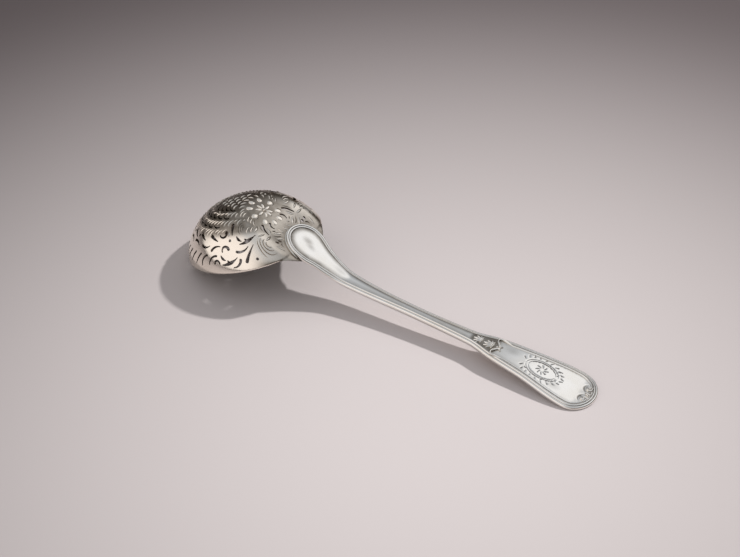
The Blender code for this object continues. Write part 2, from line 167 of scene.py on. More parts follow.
# Concentric arcs, cut bolder than other lines: along, across, start angle, sweep, radii
ARCS = [
    (0.0235, 0.0142, 10, 190, (0.0012, 0.0024, 0.0036, 0.0048)),
    (0.0188, 0.0052, 150, -150, (0.0020, 0.0033, 0.0046)),
    (0.0125, 0.0145, 100, 160, (0.0010, 0.0020, 0.0030)),
    (0.0270, 0.0090, 60, 120, (0.0012, 0.0024)),
]
ARC_BOLD = 1.2
# Raised leaves: along, across, heading, length, width
LEAVES = [
    (0.0175, 0.0070, 15, 0.0042, 0.0012),
    (0.0170, 0.0086, 40, 0.0042, 0.0012),
    (0.0158, 0.0098, 65, 0.0042, 0.0012),
    (0.0215, 0.0100, 70, 0.0040, 0.0012),
    (0.0198, 0.0112, 95, 0.0036, 0.0011),
    (0.0210, 0.0083, -77, 0.0048, 0.0014),
    (0.0232, 0.0094, -74, 0.0042, 0.0013),
    (0.0254, 0.0128, -35, 0.0034, 0.0013),
]
LEAF_BEND = 25
# Room that a line keeps to what is drawn already, in widths, and how fast it swells from its ends
CUT_CLEAR = 0.75
RAISE_CLEAR = 0.6
CUT_SWELL = 0.6
RAISE_SWELL = 0.75

# Chased crown. Rows of barbs: distance from the rim and length
BARB_ROWS = [(0.0193, 0.0054), (0.0240, 0.0052), (0.0287, 0.0046)]
BARB_PITCH = 0.0019
BARB_WIDTH = 0.0009
BARB_HEADING = math.radians(80)
BARB_BEND = -75
BARB_PHASE = 0.25
CROWN_END = 0.0160
# Rays round the flower, which the barbs and the scales keep clear of
FLOWER_CLEAR = 0.0078
FLOWER_RAYS = 22
RAY_LENGTH = 0.0034
RAY_BEND = 60
# Overlapping scales on its top
SCALES_FROM_RIM = 0.0296
SCALE_RADIUS = 0.0016
SCALE_START = 105
SCALE_SWEEP = 150
SCALE_WIDTH = 0.0009
SCALE_PITCH = 0.0035
SCALE_ROW = 0.0025
# Tarnish and painted shade on its ground, which thin out towards the heel, and round the tongue; the painted
# shade stands for the dark reflection on the crown
CROWN_EDGE = 0.0155
CROWN_FADE = 0.0035
CROWN_TARNISH_AND_SHADE = 0.86
HEEL_CLEAN = 0.5
HEEL_CLEAN_START = 0.012
HEEL_CLEAN_LENGTH = 0.010
# Darkening round the tongue: tarnish, and painted shade that dulls the metal's look there
JOINT_TARNISH_AND_SHADE = 0.75
JOINT_REACH = 0.015
# Rings of the flower's petals: count, radius, turn in steps, size of a petal
FLOWER_RINGS = [
    (8, 0.0008, 0.0, (0.0032, 0.0014, 0.0006)),
    (9, 0.0044, 0.5, (0.0032, 0.0025, 0.0007)),
]
FLOWER_PEARL = 0.0014
FLOWER_PEARL_LIFT = 0.0002

# Handle in plan: (width, distance from the bowl's lip) and then from the handle's end. The shoulder is
# behind the tongue's widest place by a distance, and has a share of that width
TONGUE_REACH = 0.0138
TONGUE_WIDTH = 0.0186
NECK_STATIONS = [(0.0139, 0.0044), (0.0092, 0.0184)]
SHOULDER = (0.0016, 0.9925)
END_STATIONS = [(0.0063, 0.085), (0.0078, 0.059), (0.0132, 0.047), (0.0170, 0.033), (0.0227, 0.0105)]
FIDDLE_WIDTH, FIDDLE_FROM_END = END_STATIONS[-1]

# Handle in side view: (height of the underside, distance), (thickness, distance) and
# (crown of the field between the threads, distance)
NECK_UNDERSIDE = [(0.0104, 0.0184)]
END_UNDERSIDE = [(0.0070, 0.085), (0.0051, 0.047), (0.0038, 0.033), (0.0003, 0.0105), (0.0, 0.007)]
NECK_THICKNESS = [(0.0014, 0.0), (0.0024, 0.0184)]
END_THICKNESS = [(0.0028, 0.085), (0.0026, 0.033), (0.0026, 0.018), (0.0019, 0.0)]
NECK_CROWN = [(0.0006, 0.0), (0.0003, 0.0184)]
END_CROWN = [(0.0001, 0.085), (0.0002, 0.033)]

# Section of the border. A power under 1 makes a bead or a thread fuller than round
THREADS = 1
EDGE_ROUND = 0.0004
LEAST_EDGE = 0.0002
BEAD_POWER = 0.8
THREAD_POWER = 0.7
# Share of the width that the border leaves to the field where the handle is slim
FIELD_SHARE = 0.2
# Lines of mesh points just inside the field's edge, as far as the shank's end
FIELD_LOOPS = (0.00015, 0.0004)
FIELD_LOOPS_END = 0.040

# Tarnish on the handle across a thread and round the buds, and painted shade along the field's edge at the
# tongue and past it
GROOVE_TARNISH = (0.9, 0.3, 0.0, 0.0, 0.0, 0.0, 0.0, 0.3)
BUD_TARNISH = 0.85
BUD_GROUND = (0.0425, 0.0578)
BUD_FADE = 0.0025
EDGE_SHADE = (0.85, 0.35)
EDGE_REACH = 0.0028
EDGE_CHANGE = (-0.034, -0.018)
# Darker clouds on the field: place, half length, half width, share
CLOUDS = [
    (-0.0402, 0.0005, 0.0036, 0.0026, 0.55),
    (-0.0380, -0.0008, 0.0034, 0.0022, 0.42),
    (-0.0230, 0.0003, 0.0050, 0.0022, 0.25),
    (0.0630, 0.0020, 0.0050, 0.0035, 0.30),
    (0.0845, -0.0045, 0.0050, 0.0030, 0.30),
]

# Seat of the tongue on the bowl, the skirt of its edge, and the solder bead round it
SEAT_GAP = 0.0003
SKIRT_WIDTH = 0.0016
SKIRT_CLEAR = 0.0001
SKIRT_FADE = 0.8
SEAM_RADIUS = 0.00045
SEAM_TO_RIM = 0.0002
SEAM_TAPER = 4
SEAM_SINK = 0.6
SEAM_WAVER = 0.06
SEAM_WAVES = (1.7, 0.6)

# Ornament of the handle in plan, for the side of +Y. The frame line: the points of its scroll, and the
# long line that starts at a place and stops a share of the volute's radius above the volute's eye
FRAME_START = [(0.0583, 0.0014), (0.0577, 0.0008), (0.0568, 0.0011), (0.0560, 0.0021), (0.0551, 0.0033),
               (0.0552, 0.0046), (0.0566, 0.0052)]
FRAME_INSET = 0.0008
FRAME_JOIN = 0.0610
FRAME_STOP = 0.5
# Its scroll is bolder and higher, and thins out between two places
FRAME_BOLD = (0.0565, 0.0610)
SCROLL_BOLD = 0.5
SCROLL_LIFT = 0.0003
# Number of the point from which it lies in a sunk line, and the room that the sunk line keeps, in widths
SUNK_START = 3
FRAME_CLEAR = 0.52
# The volute's eye and radius, its winding, its share of radius at the eye, and the sunk line round it
VOLUTE = (0.0980, 0.0032, 0.0015)
VOLUTE_WIND = (50.0, -370.0)
VOLUTE_EYE = 0.3
VOLUTE_BOLD = 1.25
VOLUTE_LIFT = 0.0003
HALO_START = 60
HALO_SWEEP = 230
# Buds: base along the axis, length and width. Their leaves: lean, shares of length and width
BUDS = [(0.0492, 0.0044, 0.0030), (0.0545, 0.0050, 0.0038)]
BUD_LEAVES = [(0.0, 1.0, 0.42), (24.0, 0.95, 0.34), (50.0, 0.78, 0.30), (82.0, 0.50, 0.26)]
BUD_HEADING = 180
BUD_THICKNESS = 2.0
BUD_PEARL = 0.34
BUD_PEARL_LIFT = 0.0002
# Palmette: base, length and width. Its leaves: lean and share of length
PALMETTE = (0.0975, 0.0030, 0.0008)
PALMETTE_LEAVES = [(0.0, 1.0), (30.0, 0.9)]
PALMETTE_HEADING = 0
PALMETTE_THICKNESS = 2.2
# Pearls in the volutes' eyes and between the scrolls
EYE_PEARL = 0.0009
SCROLL_PEARL = 0.0010
SCROLL_PEARL_ALONG = 0.0563
PEARL_LIFT = 0.0001
# Medallion: place along the axis, half length and half width. Its ovals, whirl and laurel
MEDALLION = (0.0775, 0.0074, 0.0046)
OVALS = (1.0, 0.84)
WHIRL_RAYS = 8
WHIRL_START = 0.16
WHIRL_LENGTH = 0.5
WHIRL_BEND = 50
LAUREL_LEAVES = 10
LAUREL_START = 14
LAUREL_STEP = 17
LAUREL_GAP = (0.0010, 0.0008)
LAUREL_LENGTH = 0.0022
LAUREL_BEND = 30
LAUREL_LEAN = 38
FIELD_CLEAR = 0.4

# Metal. Finishes: roughness of clean metal, share of bloom, strength of the hairlines
FINISHES = {
    "bowl_finish": (0.15, 0.35, 0.08),
    "handle_finish": (0.09, 0.45, 0.0),
    "solder_finish": (0.3, 0.6, 0.5),
}
CLOUD_SCALE = 60.0
CLOUD_DETAIL = 5.0
CLOUD_GRAIN = 0.6
CLOUD_RANGE = (0.42, 0.72)
GRIME_SCALE = 310.0
GRIME_DETAIL = 4.0
GRIME_RANGE = (0.3, 0.7)
GRIME_LEFT = (0.75, 1.0)
BLOOM_ROUGHNESS = 0.12
TARNISH_ROUGHNESS = 0.25
HAIRLINE_ALONG = 120.0
HAIRLINE_ACROSS = 2600.0
HAIRLINE_TURNS = (0.35, -0.5)
HAIRLINE_DETAIL = 2.0
HAIRLINE_DEPTH = 0.00002

# Stage. A glow grows between two cosines of the angle to its direction
CAMERA_TARGET = (-0.01788, 0.0170, 0.0)
KEY_TOWARD = (0.39, 0.875, 1.0)
KEY_DISTANCE = 1.2
KEY_SIZE = 0.05
SOFTBOX_GLOW = (0.885, 0.96)
OVERHEAD = (0.0, 0.0, 1.0)
OVERHEAD_GLOW = (0.30, 0.75)
CARD = (-0.55, -0.8, 0.1)
CARD_GLOW = (0.35, 0.9)
# Painted pool of light on the table: its centre, and the distance over which the table's colour darkens
PAINTED_POOL_CENTRE = (0.0468, -0.0759, 0.0)
PAINTED_POOL_REACH = 0.462
TABLE_REACH = 20.0
TABLE_ROUGHNESS = 0.85
TABLE_SPECULAR = 0.2

# Fineness of the meshes
MERIDIAN_STEPS = 300
RIM_STEPS = 260
TONGUE_STEPS = 24
BODY_STEPS = 150
END_STEPS = 28
EDGE_ROWS = 5
BEAD_ROWS = 10
STROKE_STEPS = 12
CAP_STEPS = 6
SCROLL_STEPS = 10
VOLUTE_STEPS = 60
OVAL_STEPS = 60
WHIRL_STEPS = 8
LAUREL_STEPS = 6
PETAL_SEGMENTS = 14
PETAL_RINGS = 8
WIRE_SIDES = 10
BISECTIONS = 40
SEAT_SAMPLES = 8
# Mesh lines along a worked line, in half widths from its middle
CUT_LANES = (-1.0, 0.0, 1.0)
RAISED_LANES = (-1.0, -0.55, 0.0, 0.55, 1.0)
# Room from plain points to drawn lines, in spacings, and the fewest points of a worked line
GRID_CLEAR = 0.45
SHORTEST_RUN = 5
# Steps over which slopes are taken: a share on the dome, and lengths at the solder, petals and buds
NORMAL_STEP = 0.004
SEAM_PROBE = 0.0002
PETAL_PROBE = 0.0004
BUD_PROBE = 0.002
# Smallest ring that a stroke is wrapped round, distance at which points merge and angles of sharp edges
LEAST_RING = 0.05
MERGE = 1e-6
SHARP = math.radians(30)
HANDLE_SHARP = math.radians(60)

# Sockets of a Mix node that mixes colours: its share, its two colours and its result
MIX_SHARE, MIX_FIRST, MIX_SECOND, MIX_RESULT = 0, 6, 7, 2


# Settings

def metres(name, default, text):
    return FloatProperty(name=name, description=text, default=default, unit="LENGTH", precision=5)


def degrees(name, default, text):
    return FloatProperty(name=name, description=text, default=math.radians(default), unit="ROTATION")


def number(name, default, text):
    return FloatProperty(name=name, description=text, default=default, min=0.0)


def tint(name, default, text):
    return FloatVectorProperty(name=name, description=text, default=default, subtype="COLOR", size=3,
                               min=0.0, max=1.0)


class BowlSettings(bpy.types.PropertyGroup):
    """Sizes of the pierced bowl."""

    length: metres("Length", 0.069, "Bowl from its tip to its heel, along the rim")
    width: metres("Width", BOWL_HIGH.y - BOWL_LOW.y, "Bowl across its rim")
    depth: metres("Depth", 0.0208, "Bowl from its rim to its crown")
    wall: metres("Wall", 0.0011, "Thickness of the bowl's wall")
    tilt: degrees("Tilt", 21.3, "Slope of the rim as the spoon lies")
    groove_width: metres("Groove width", 0.0006, "Width of an engraved line")
    groove_depth: metres("Groove depth", 0.00024, "Depth of an engraved line")
    leaf_height: metres("Leaf height", 0.00034, "How far a chased leaf stands up")
    spacing: metres("Spacing", 0.0008, "Distance between the mesh's points on plain metal")


class HandleSettings(bpy.types.PropertyGroup):
    """Sizes of the struck handle."""

    bead_width: metres("Bead width", 0.0011, "Width of the border's outer bead")
    bead_drop: metres("Bead drop", 0.0007, "Height of the border's outer bead")
    thread_width: metres("Thread width", 0.0009, "Width of each thread inside the bead")
    thread_groove: metres("Thread groove", 0.00042, "Depth of the grooves beside the threads")
    thread_crest: metres("Thread crest", 0.0001, "Depth of the threads' crests below the bead")
    field_depth: metres("Field depth", 0.00055, "Depth of the plain field inside the border")
    border_fall: metres("Border fall", 0.0009, "How far the border slopes down from the field to the edge")
    groove_width: metres("Groove width", 0.00036, "Width of an engraved line")
    groove_depth: metres("Groove depth", 0.00016, "Depth of an engraved line")
    frame_groove: metres("Frame groove", 0.0013, "Width of the sunk line in which the scroll frame lies")
    bud_height: metres("Bud height", 0.0007, "How far the buds stand up")
    wire: metres("Scroll wire", 0.00036, "Radius of the raised scroll lines")
    spacing: metres("Spacing", 0.0006, "Distance between the mesh's points on the field")


class FinishSettings(bpy.types.PropertyGroup):
    """Colours of the metal, and how dark the bowl's inside is painted: tarnish and painted shade."""

    silver: tint("Silver", (0.90, 0.88, 0.85), "Clean silver of the handle")
    old_silver: tint("Old silver", (0.94, 0.865, 0.775), "Silver of the bowl, yellower than the handle's")
    tarnish: tint("Tarnish", (0.105, 0.080, 0.054), "Tarnish left in the cuts")
    bloom: tint("Bloom", (0.74, 0.68, 0.58), "Thin yellowish bloom on open metal")
    # Inside tarnish is set past full: tarnish, and painted shade that darkens the bowl's inside and what is
    # seen through its holes
    inside: number("Inside tarnish", 1.5, "Share of tarnish on the bowl's inside")
    solder: tint("Solder", (0.74, 0.71, 0.66), "Hard solder, duller than silver")


class StageSettings(bpy.types.PropertyGroup):
    """Table, light and camera."""

    floor: tint("Table", (0.655, 0.594, 0.583), "Pale table under the spoon")
    # The table's painted colour where the painted pool of light runs out
    far: tint("Far table", (0.092, 0.076, 0.077), "Table where it runs out of the light")
    azimuth: degrees("Azimuth", 31.81, "Direction of the camera round the spoon")
    elevation: degrees("Elevation", 40.48, "Height of the camera above the table")
    distance: metres("Distance", 0.57894, "Camera from the point that it looks at")
    lens: number("Lens", 61.08, "Focal length in millimetres on a 36 mm sensor")
    key: number("Key", 11.5, "Power of the key softbox in watts")
    dark: tint("Dark side", (0.075, 0.062, 0.05), "What lies behind the spoon")
    overhead: tint("Overhead", (0.54, 0.56, 0.59), "What hangs over the spoon")
    card: tint("Card", (1.0, 0.95, 0.92), "White card low in front of the spoon and to its left")
    softbox: tint("Softbox", (0.95, 0.95, 0.96), "Cloth round the key light")


# Curves and drawings

def ease(share):
    share = np.clip(share, 0.0, 1.0)
    return share * share * (3.0 - 2.0 * share)


def smooth_curve(stations):
    """A curve through (place, value) stations that never swings past them."""
    places, values = np.array(stations, float).T
    gaps = np.diff(places)
    rises = np.diff(values) / gaps
    slopes = np.zeros(len(places))
    slopes[0] = rises[0]
    for i in range(1, len(gaps)):
        if rises[i - 1] * rises[i] > 0.0:
            before = 2.0 * gaps[i] + gaps[i - 1]
            after = gaps[i] + 2.0 * gaps[i - 1]
            slopes[i] = (before + after) / (before / rises[i - 1] + after / rises[i])

    def value(place):
        place = np.clip(place, places[0], places[-1])
        i = np.clip(np.searchsorted(places, place, side="right") - 1, 0, len(gaps) - 1)
        t = (place - places[i]) / gaps[i]
        rise = (values[i + 1] - values[i]) * t * t * (3.0 - 2.0 * t)
        start = gaps[i] * slopes[i] * t * (1.0 - t) ** 2
        return values[i] + rise + start + gaps[i] * slopes[i + 1] * t * t * (t - 1.0)

    return value


def unit(angle):
    return np.stack([np.cos(angle), np.sin(angle)], -1)


def lengths_along(points):
    steps = np.linalg.norm(np.diff(points, axis=0), axis=1)
    return np.concatenate([[0.0], np.cumsum(steps)])


def bent_line(length, bend, steps=STROKE_STEPS):
    """A line from the origin along x that turns by bend, and its headings."""
    heading = np.radians(bend) * np.linspace(0.0, 1.0, steps + 1)
    moves = unit(heading[1:]) * length / steps
    return np.vstack([[[0.0, 0.0]], np.cumsum(moves, axis=0)]), heading


def arc_line(centre, radius, start, sweep, steps=STROKE_STEPS):
    turn = np.radians(start + sweep * np.linspace(0.0, 1.0, steps + 1))
    return np.array(centre) + unit(turn) * radius


def turned(line, heading):
    cos, sin = math.cos(heading), math.sin(heading)
    return line @ np.array([[cos, sin], [-sin, cos]])


def swell(count, power):
    """Share of full width along a worked line: thin at both ends."""
    return np.maximum(np.sin(np.pi * np.linspace(0.0, 1.0, count)), 0.0) ** power


def half_widths(stroke):
    width = smooth_curve([(0.0, stroke.head), (0.5, stroke.middle), (1.0, stroke.tail)])
    return width(np.linspace(0.0, 1.0, STROKE_STEPS + 1)) / 2


def stroke_outline(stroke, turn):
    """Outline of a sawn stroke: a bent spine with a round head and tail. A leaf also has a tooth."""
    if stroke.length == 0.0:
        return unit(np.linspace(0.0, 2 * np.pi, 2 * CAP_STEPS, endpoint=False)) * stroke.head / 2
    spine, heading = bent_line(stroke.length, stroke.bend * turn)
    side = unit(heading + np.pi / 2) * half_widths(stroke)[:, None]
    left, right = spine + side, spine - side
    if stroke.tooth:
        at = round(TOOTH_SHARE * STROKE_STEPS)
        hollow = math.copysign(1.0, stroke.bend * turn)
        lean = heading[at] + hollow * (np.pi / 2 + TOOTH_LEAN)
        tip = spine[at] + unit(lean) * stroke.tooth
        headward = unit(lean + hollow * np.pi / 2) * TOOTH_TIP / 2
        inner = left if hollow > 0.0 else right
        toothed = np.vstack([inner[:at], tip + headward, tip - headward, inner[at + 1:]])
        left, right = (toothed, right) if hollow > 0.0 else (left, toothed)
    caps = np.linspace(np.pi / 2, 3 * np.pi / 2, CAP_STEPS + 1)[1:-1]
    head_cap = unit(caps) * stroke.head / 2
    tail_cap = spine[-1] + unit(heading[-1] + caps + np.pi) * stroke.tail / 2
    return np.vstack([head_cap, right, tail_cap, left[::-1]])


def inside(places, outline):
    """Which places lie within a closed outline."""
    x, y = places[:, 0, None], places[:, 1, None]
    ax, ay = outline[:, 0], outline[:, 1]
    bx, by = np.roll(ax, -1), np.roll(ay, -1)
    crosses = (ay > y) != (by > y)
    rise = np.where(by == ay, 1.0, by - ay)
    return (crosses & (x < ax + (y - ay) / rise * (bx - ax))).sum(1) % 2 == 1


class Sheet:
    """Flat drawing of a worked surface: its edge, what is sawn out of it, cut into it or raised on it."""

    def __init__(self, edge):
        self.edge = edge
        self.lines = []
        self.holes = []
        self.works = []

    def pierce(self, outline):
        x, y = outline.T
        area = (x * np.roll(y, -1) - y * np.roll(x, -1)).sum()
        self.holes.append(outline if area > 0.0 else outline[::-1])

    def work(self, spine, width, rise, power):
        """Cuts a line into the sheet, or raises it where the rise is above 0."""
        share = swell(len(spine), power)
        self.works.append((spine, width / 2 * share, rise * share))

    def lanes(self, work):
        """Lines along a work, from edge to edge, that carry its section."""
        spine, half, rise = work
        run = np.gradient(spine, axis=0)
        run /= np.linalg.norm(run, axis=1)[:, None]
        side = np.stack([-run[:, 1], run[:, 0]], -1) * half[:, None]
        shares = RAISED_LANES if rise.max() > 0.0 else CUT_LANES
        return [spine + side * share for share in shares]

    def drawn(self):
        worked = [lane for work in self.works for lane in self.lanes(work)]
        return np.vstack([self.edge, *self.lines, *self.holes, *worked])

    def clear_of(self, places, gap):
        """Which places lie further than the gap from everything drawn."""
        points = self.drawn()
        tree = KDTree(len(points))
        for i, point in enumerate(points):
            tree.insert((*point, 0.0), i)
        tree.balance()
        return np.array([tree.find((*place, 0.0))[2] > gap for place in places])

    def rise_at(self, places):
        """Depth cut into the sheet and height raised on it, at each place."""
        cut = np.zeros(len(places))
        raised = np.zeros(len(places))
        for spine, half, rise in self.works:
            reach = half.max()
            near = (places > spine.min(0) - reach) & (places < spine.max(0) + reach)
            index = np.flatnonzero(near.all(1))
            if len(index) == 0:
                continue
            start, run = spine[:-1], np.diff(spine, axis=0)
            to_place = places[index][:, None] - start
            share = np.clip((to_place * run).sum(-1) / (run * run).sum(-1), 0.0, 1.0)
            gap = np.linalg.norm(to_place - share[..., None] * run, axis=-1)
            row, seg = np.arange(len(index)), gap.argmin(1)
            share = share[row, seg]
            width = half[seg] * (1.0 - share) + half[seg + 1] * share
            depth = rise[seg] * (1.0 - share) + rise[seg + 1] * share
            left = np.clip(1.0 - gap[row, seg] / np.maximum(width, MERGE), 0.0, 1.0)
            # A raised line has a round section, and a cut one is a V
            if rise.max() > 0.0:
                raised[index] = np.maximum(raised[index], depth * left * (2.0 - left))
            else:
                cut[index] = np.minimum(cut[index], depth * left)
        return cut, raised

    def grid(self, spacing):
        """Staggered points that fill the plain parts of the sheet."""
        low, high = self.edge.min(0), self.edge.max(0)
        rows = np.arange(low[1], high[1], spacing * math.sqrt(3) / 2)
        columns = np.arange(low[0], high[0], spacing)
        places = np.array([(x + spacing / 2 * (j % 2), y) for j, y in enumerate(rows) for x in columns])
        places = places[inside(places, self.edge)]
        return places[self.clear_of(places, spacing * GRID_CLEAR)]

    def triangles(self, spacing):
        """Points, triangles and, for each point, its place on the edge or -1."""
        points, edges, faces = [], [], []

        def draw(line, closed):
            first = len(points)
            points.extend(Vector(place) for place in line)
            ids = list(range(first, len(points)))
            if closed:
                faces.append(ids)
            else:
                edges.extend(zip(ids, ids[1:]))

        draw(self.edge, True)
        for hole in self.holes:
            draw(hole, True)
        for line in self.lines:
            draw(line, False)
        for work in self.works:
            for lane in self.lanes(work):
                draw(lane, False)
        points.extend(Vector(place) for place in self.grid(spacing))
        made, _, tris, olds, _, parents = delaunay_2d_cdt(points, edges, faces, 1, MERGE)
        tris = np.array([tri for tri, ids in zip(tris, parents) if max(ids, default=1) == 0])
        used, tris = np.unique(tris, return_inverse=True)
        count = len(self.edge)
        on_edge = np.array([min((i for i in olds[j] if i < count), default=-1) for j in used])
        return np.array([made[j] for j in used]), tris.reshape(-1, 3), on_edge


class Dome:
    """The bowl's outer surface, its place on the table and its flat drawing."""

    def __init__(self, bowl):
        self.half_length, self.half_width = bowl.length / 2, bowl.width / 2
        self.depth, self.wall, self.tilt = bowl.depth, bowl.wall, bowl.tilt
        self.stretch = self.half_length / self.half_width
        self.rings = 1.0 - np.linspace(1.0, 0.0, MERIDIAN_STEPS + 1) ** 2
        self.reach = lengths_along(self.point(self.rings, np.pi / 2))
        # The tip is where the solids begin
        self.shift = 0.0
        self.shift = CAD_LOW.x - self.lay(self.point(self.rings, np.pi))[:, 0].min()

    def point(self, ring, angle):
        """In the bowl's own frame: ring is 0 at the crown and 1 at the rim, angle 0 at the heel."""
        along = self.half_length * ring * np.cos(angle)
        across = self.half_width * ring * np.sin(angle)
        heelward = ((1.0 + np.cos(angle)) / 2) ** HEEL_FOCUS
        power = SIDE_POWER + (HEEL_POWER - SIDE_POWER) * heelward
        height = self.depth * np.maximum(0.0, 1.0 - ring ** CROWN_POWER) ** (1.0 / power)
        flare = (HEEL_FLARE_WIDTH / 2 - abs(across)) / ((HEEL_FLARE_WIDTH - HEEL_SEAT_WIDTH) / 2)
        slope = (along - HEEL_SLOPE_START) / HEEL_SLOPE_LENGTH
        height = height - HEEL_DROP * ease(flare) * ease(slope)
        return np.stack(np.broadcast_arrays(self.half_length + along, across, height), -1)

    def normal(self, ring, angle):
        ring = np.maximum(ring, NORMAL_STEP * 2)
        further = np.minimum(ring + NORMAL_STEP, 1.0)
        outward = self.point(further, angle) - self.point(ring - NORMAL_STEP, angle)
        sideways = self.point(ring, angle + NORMAL_STEP) - self.point(ring, angle - NORMAL_STEP)
        normal = np.cross(outward, sideways)
        return normal / np.linalg.norm(normal, axis=-1, keepdims=True)

    def lay(self, points):
        """From the bowl's own frame to its place on the table."""
        x, y, z = np.moveaxis(points, -1, 0)
        cos, sin = math.cos(self.tilt), math.sin(self.tilt)
        return np.stack([x * cos - z * sin + self.shift, y, x * sin + z * cos], -1)

    def flat(self, ring, angle):
        radius = np.interp(ring, self.rings, self.reach)[..., None]
        return unit(angle) * radius * (self.stretch, 1.0)

    def unflat(self, places):
        x, y = places[:, 0] / self.stretch, places[:, 1]
        return np.interp(np.hypot(x, y), self.reach, self.rings), np.arctan2(y, x)

    def meridian(self, angle):
        """Distance from the rim along one meridian, and the ring there."""
        rings = self.rings[::-1]
        return lengths_along(self.point(rings, angle)), rings

    def polar(self, along, across):
        """Ring and angle of a place given from the bowl's middle."""
        x, y = along / self.half_length, across / self.half_width
        return math.hypot(x, y), math.atan2(y, x)

    def from_rim(self, along, across):
        """Distance from the rim of a place given from the bowl's middle."""
        ring, angle = self.polar(along, across)
        distances, rings = self.meridian(angle)
        return np.interp(-ring, -rings, distances)

    def wrap(self, drawing, angle, distance, heading, side):
        """A drawing laid on the flat sheet at an angle and a distance from the rim."""
        cos, sin = math.cos(heading), math.sin(heading)
        rimward = drawing[:, 0] * cos - drawing[:, 1] * sin
        sideways = drawing[:, 0] * sin + drawing[:, 1] * cos
        distances, rings = self.meridian(angle)
        ring = np.interp(distance - rimward, distances, rings)
        reach = math.hypot(self.half_length * math.sin(angle), self.half_width * math.cos(angle))
        around = angle + sideways / (reach * np.maximum(ring, LEAST_RING))
        return self.flat(ring, side * around)

    def drop(self, drawing, side):
        """A drawing given from the bowl's middle, on the flat sheet."""
        x, y = drawing[:, 0] / self.half_length, drawing[:, 1] / self.half_width
        return self.flat(np.hypot(x, y), np.arctan2(side * y, x))

    def top(self, x, y):
        """Height of the laid bowl's back over a place near its heel, or None past its lip."""
        far = self.half_length * math.sqrt(max(1.0 - (y / self.half_width) ** 2, 0.0))
        near = 0.0

        def laid(along):
            ring, angle = self.polar(along, y)
            return self.lay(self.point(min(ring, 1.0), angle))

        if x > laid(far)[0]:
            return None
        for _ in range(BISECTIONS):
            middle = (near + far) / 2
            if laid(middle)[0] < x:
                near = middle
            else:
                far = middle
        return laid(far)[2]


class Bar:
    """The handle in plan and in side view, seated over the bowl's heel."""

    def __init__(self, dome, handle):
        lip = dome.lay(dome.point(1.0, 0.0))[0]
        end = CAD_HIGH.x

        def stations(near, far):
            return [(lip + d, v) for v, d in near] + [(end - d, v) for v, d in far]

        self.start = lip - TONGUE_REACH + TONGUE_WIDTH / 2
        self.stop = end - FIDDLE_FROM_END
        halves = [(x, width / 2) for x, width in stations(NECK_STATIONS, END_STATIONS)]
        shoulder = (self.start + SHOULDER[0], TONGUE_WIDTH / 2 * SHOULDER[1])
        self.half_width = smooth_curve([(self.start, TONGUE_WIDTH / 2), shoulder, *halves])
        seat = []
        for x in lip - TONGUE_REACH * np.linspace(1.0, 0.0, SEAT_SAMPLES + 1):
            tops = [dome.top(x, y) for y in np.linspace(0.0, self.half_width(x), SEAT_SAMPLES + 1)]
            seat.append((x, max(top for top in tops if top is not None) + SEAT_GAP))
        self.underside = smooth_curve(seat + stations(NECK_UNDERSIDE, END_UNDERSIDE))
        self.thickness = smooth_curve(stations(NECK_THICKNESS, END_THICKNESS))
        self.crown = smooth_curve(stations(NECK_CROWN, END_CROWN))
        self.border = handle.bead_width + THREADS * handle.thread_width
        self.field_depth = handle.field_depth
        self.border_fall = handle.border_fall
        self.edge = handle.bead_drop + EDGE_ROUND + LEAST_EDGE

    def outline(self):
        """Half outline from the tongue's end to the handle's end, its normals and the widths it bounds."""
        turn = np.linspace(0.0, np.pi / 2, TONGUE_STEPS, endpoint=False)
        tongue = unit(np.pi - turn) * TONGUE_WIDTH / 2 + (self.start, 0.0)
        x = np.linspace(self.start, self.stop, BODY_STEPS, endpoint=False)
        body = np.stack([x, self.half_width(x)], -1)
        turn = np.linspace(np.pi / 2, 0.0, END_STEPS + 1)
        end = unit(turn) * (FIDDLE_FROM_END, FIDDLE_WIDTH / 2) + (self.stop, 0.0)
        points = np.vstack([tongue, body, end])
        points[[0, -1], 1] = 0.0
        run = points[2:] - points[:-2]
        run /= np.linalg.norm(run, axis=1)[:, None]
        square = np.stack([-run[:, 1], run[:, 0]], -1)
        return points, np.vstack([[[-1.0, 0.0]], square, [[1.0, 0.0]]]), self.width_at(points[:, 0])

    def inset(self, distance, further=0.0):
        """Half outline moved in by a distance that narrows with the border, and then further."""
        points, normals, widths = self.outline()
        return points - normals * (distance * self.squeeze(widths) + further)[:, None]

    def width_at(self, x):
        return self.half_width(np.clip(x, self.start, self.stop))

    def squeeze(self, width):
        """How far the border narrows where the handle is slim."""
        return np.minimum(1.0, width * (1.0 - FIELD_SHARE) / self.border)

    def top(self, x):
        return self.underside(x) + self.thickness(x)

    def fall(self, x):
        """How far the border slopes down to its edge, which keeps some thickness."""
        return np.minimum(self.border_fall, self.thickness(x) - self.edge)

    def field_half(self, x):
        width = self.width_at(x)
        return width - self.border * self.squeeze(width)

    def inside_field(self, places):
        """How far places lie from the field's edge, across the handle."""
        x, y = places.T
        past = np.maximum(np.maximum(self.start - x, 0.0), np.maximum(x - self.stop, 0.0))
        return np.maximum(self.field_half(x) - np.hypot(y, past), 0.0)

    def field_height(self, places):
        """The crowned field between the threads."""
        x = places[:, 0]
        out = 1.0 - self.inside_field(places) / self.field_half(x)
        return self.top(x) - self.field_depth + self.crown(x) * (1.0 - out ** 2)


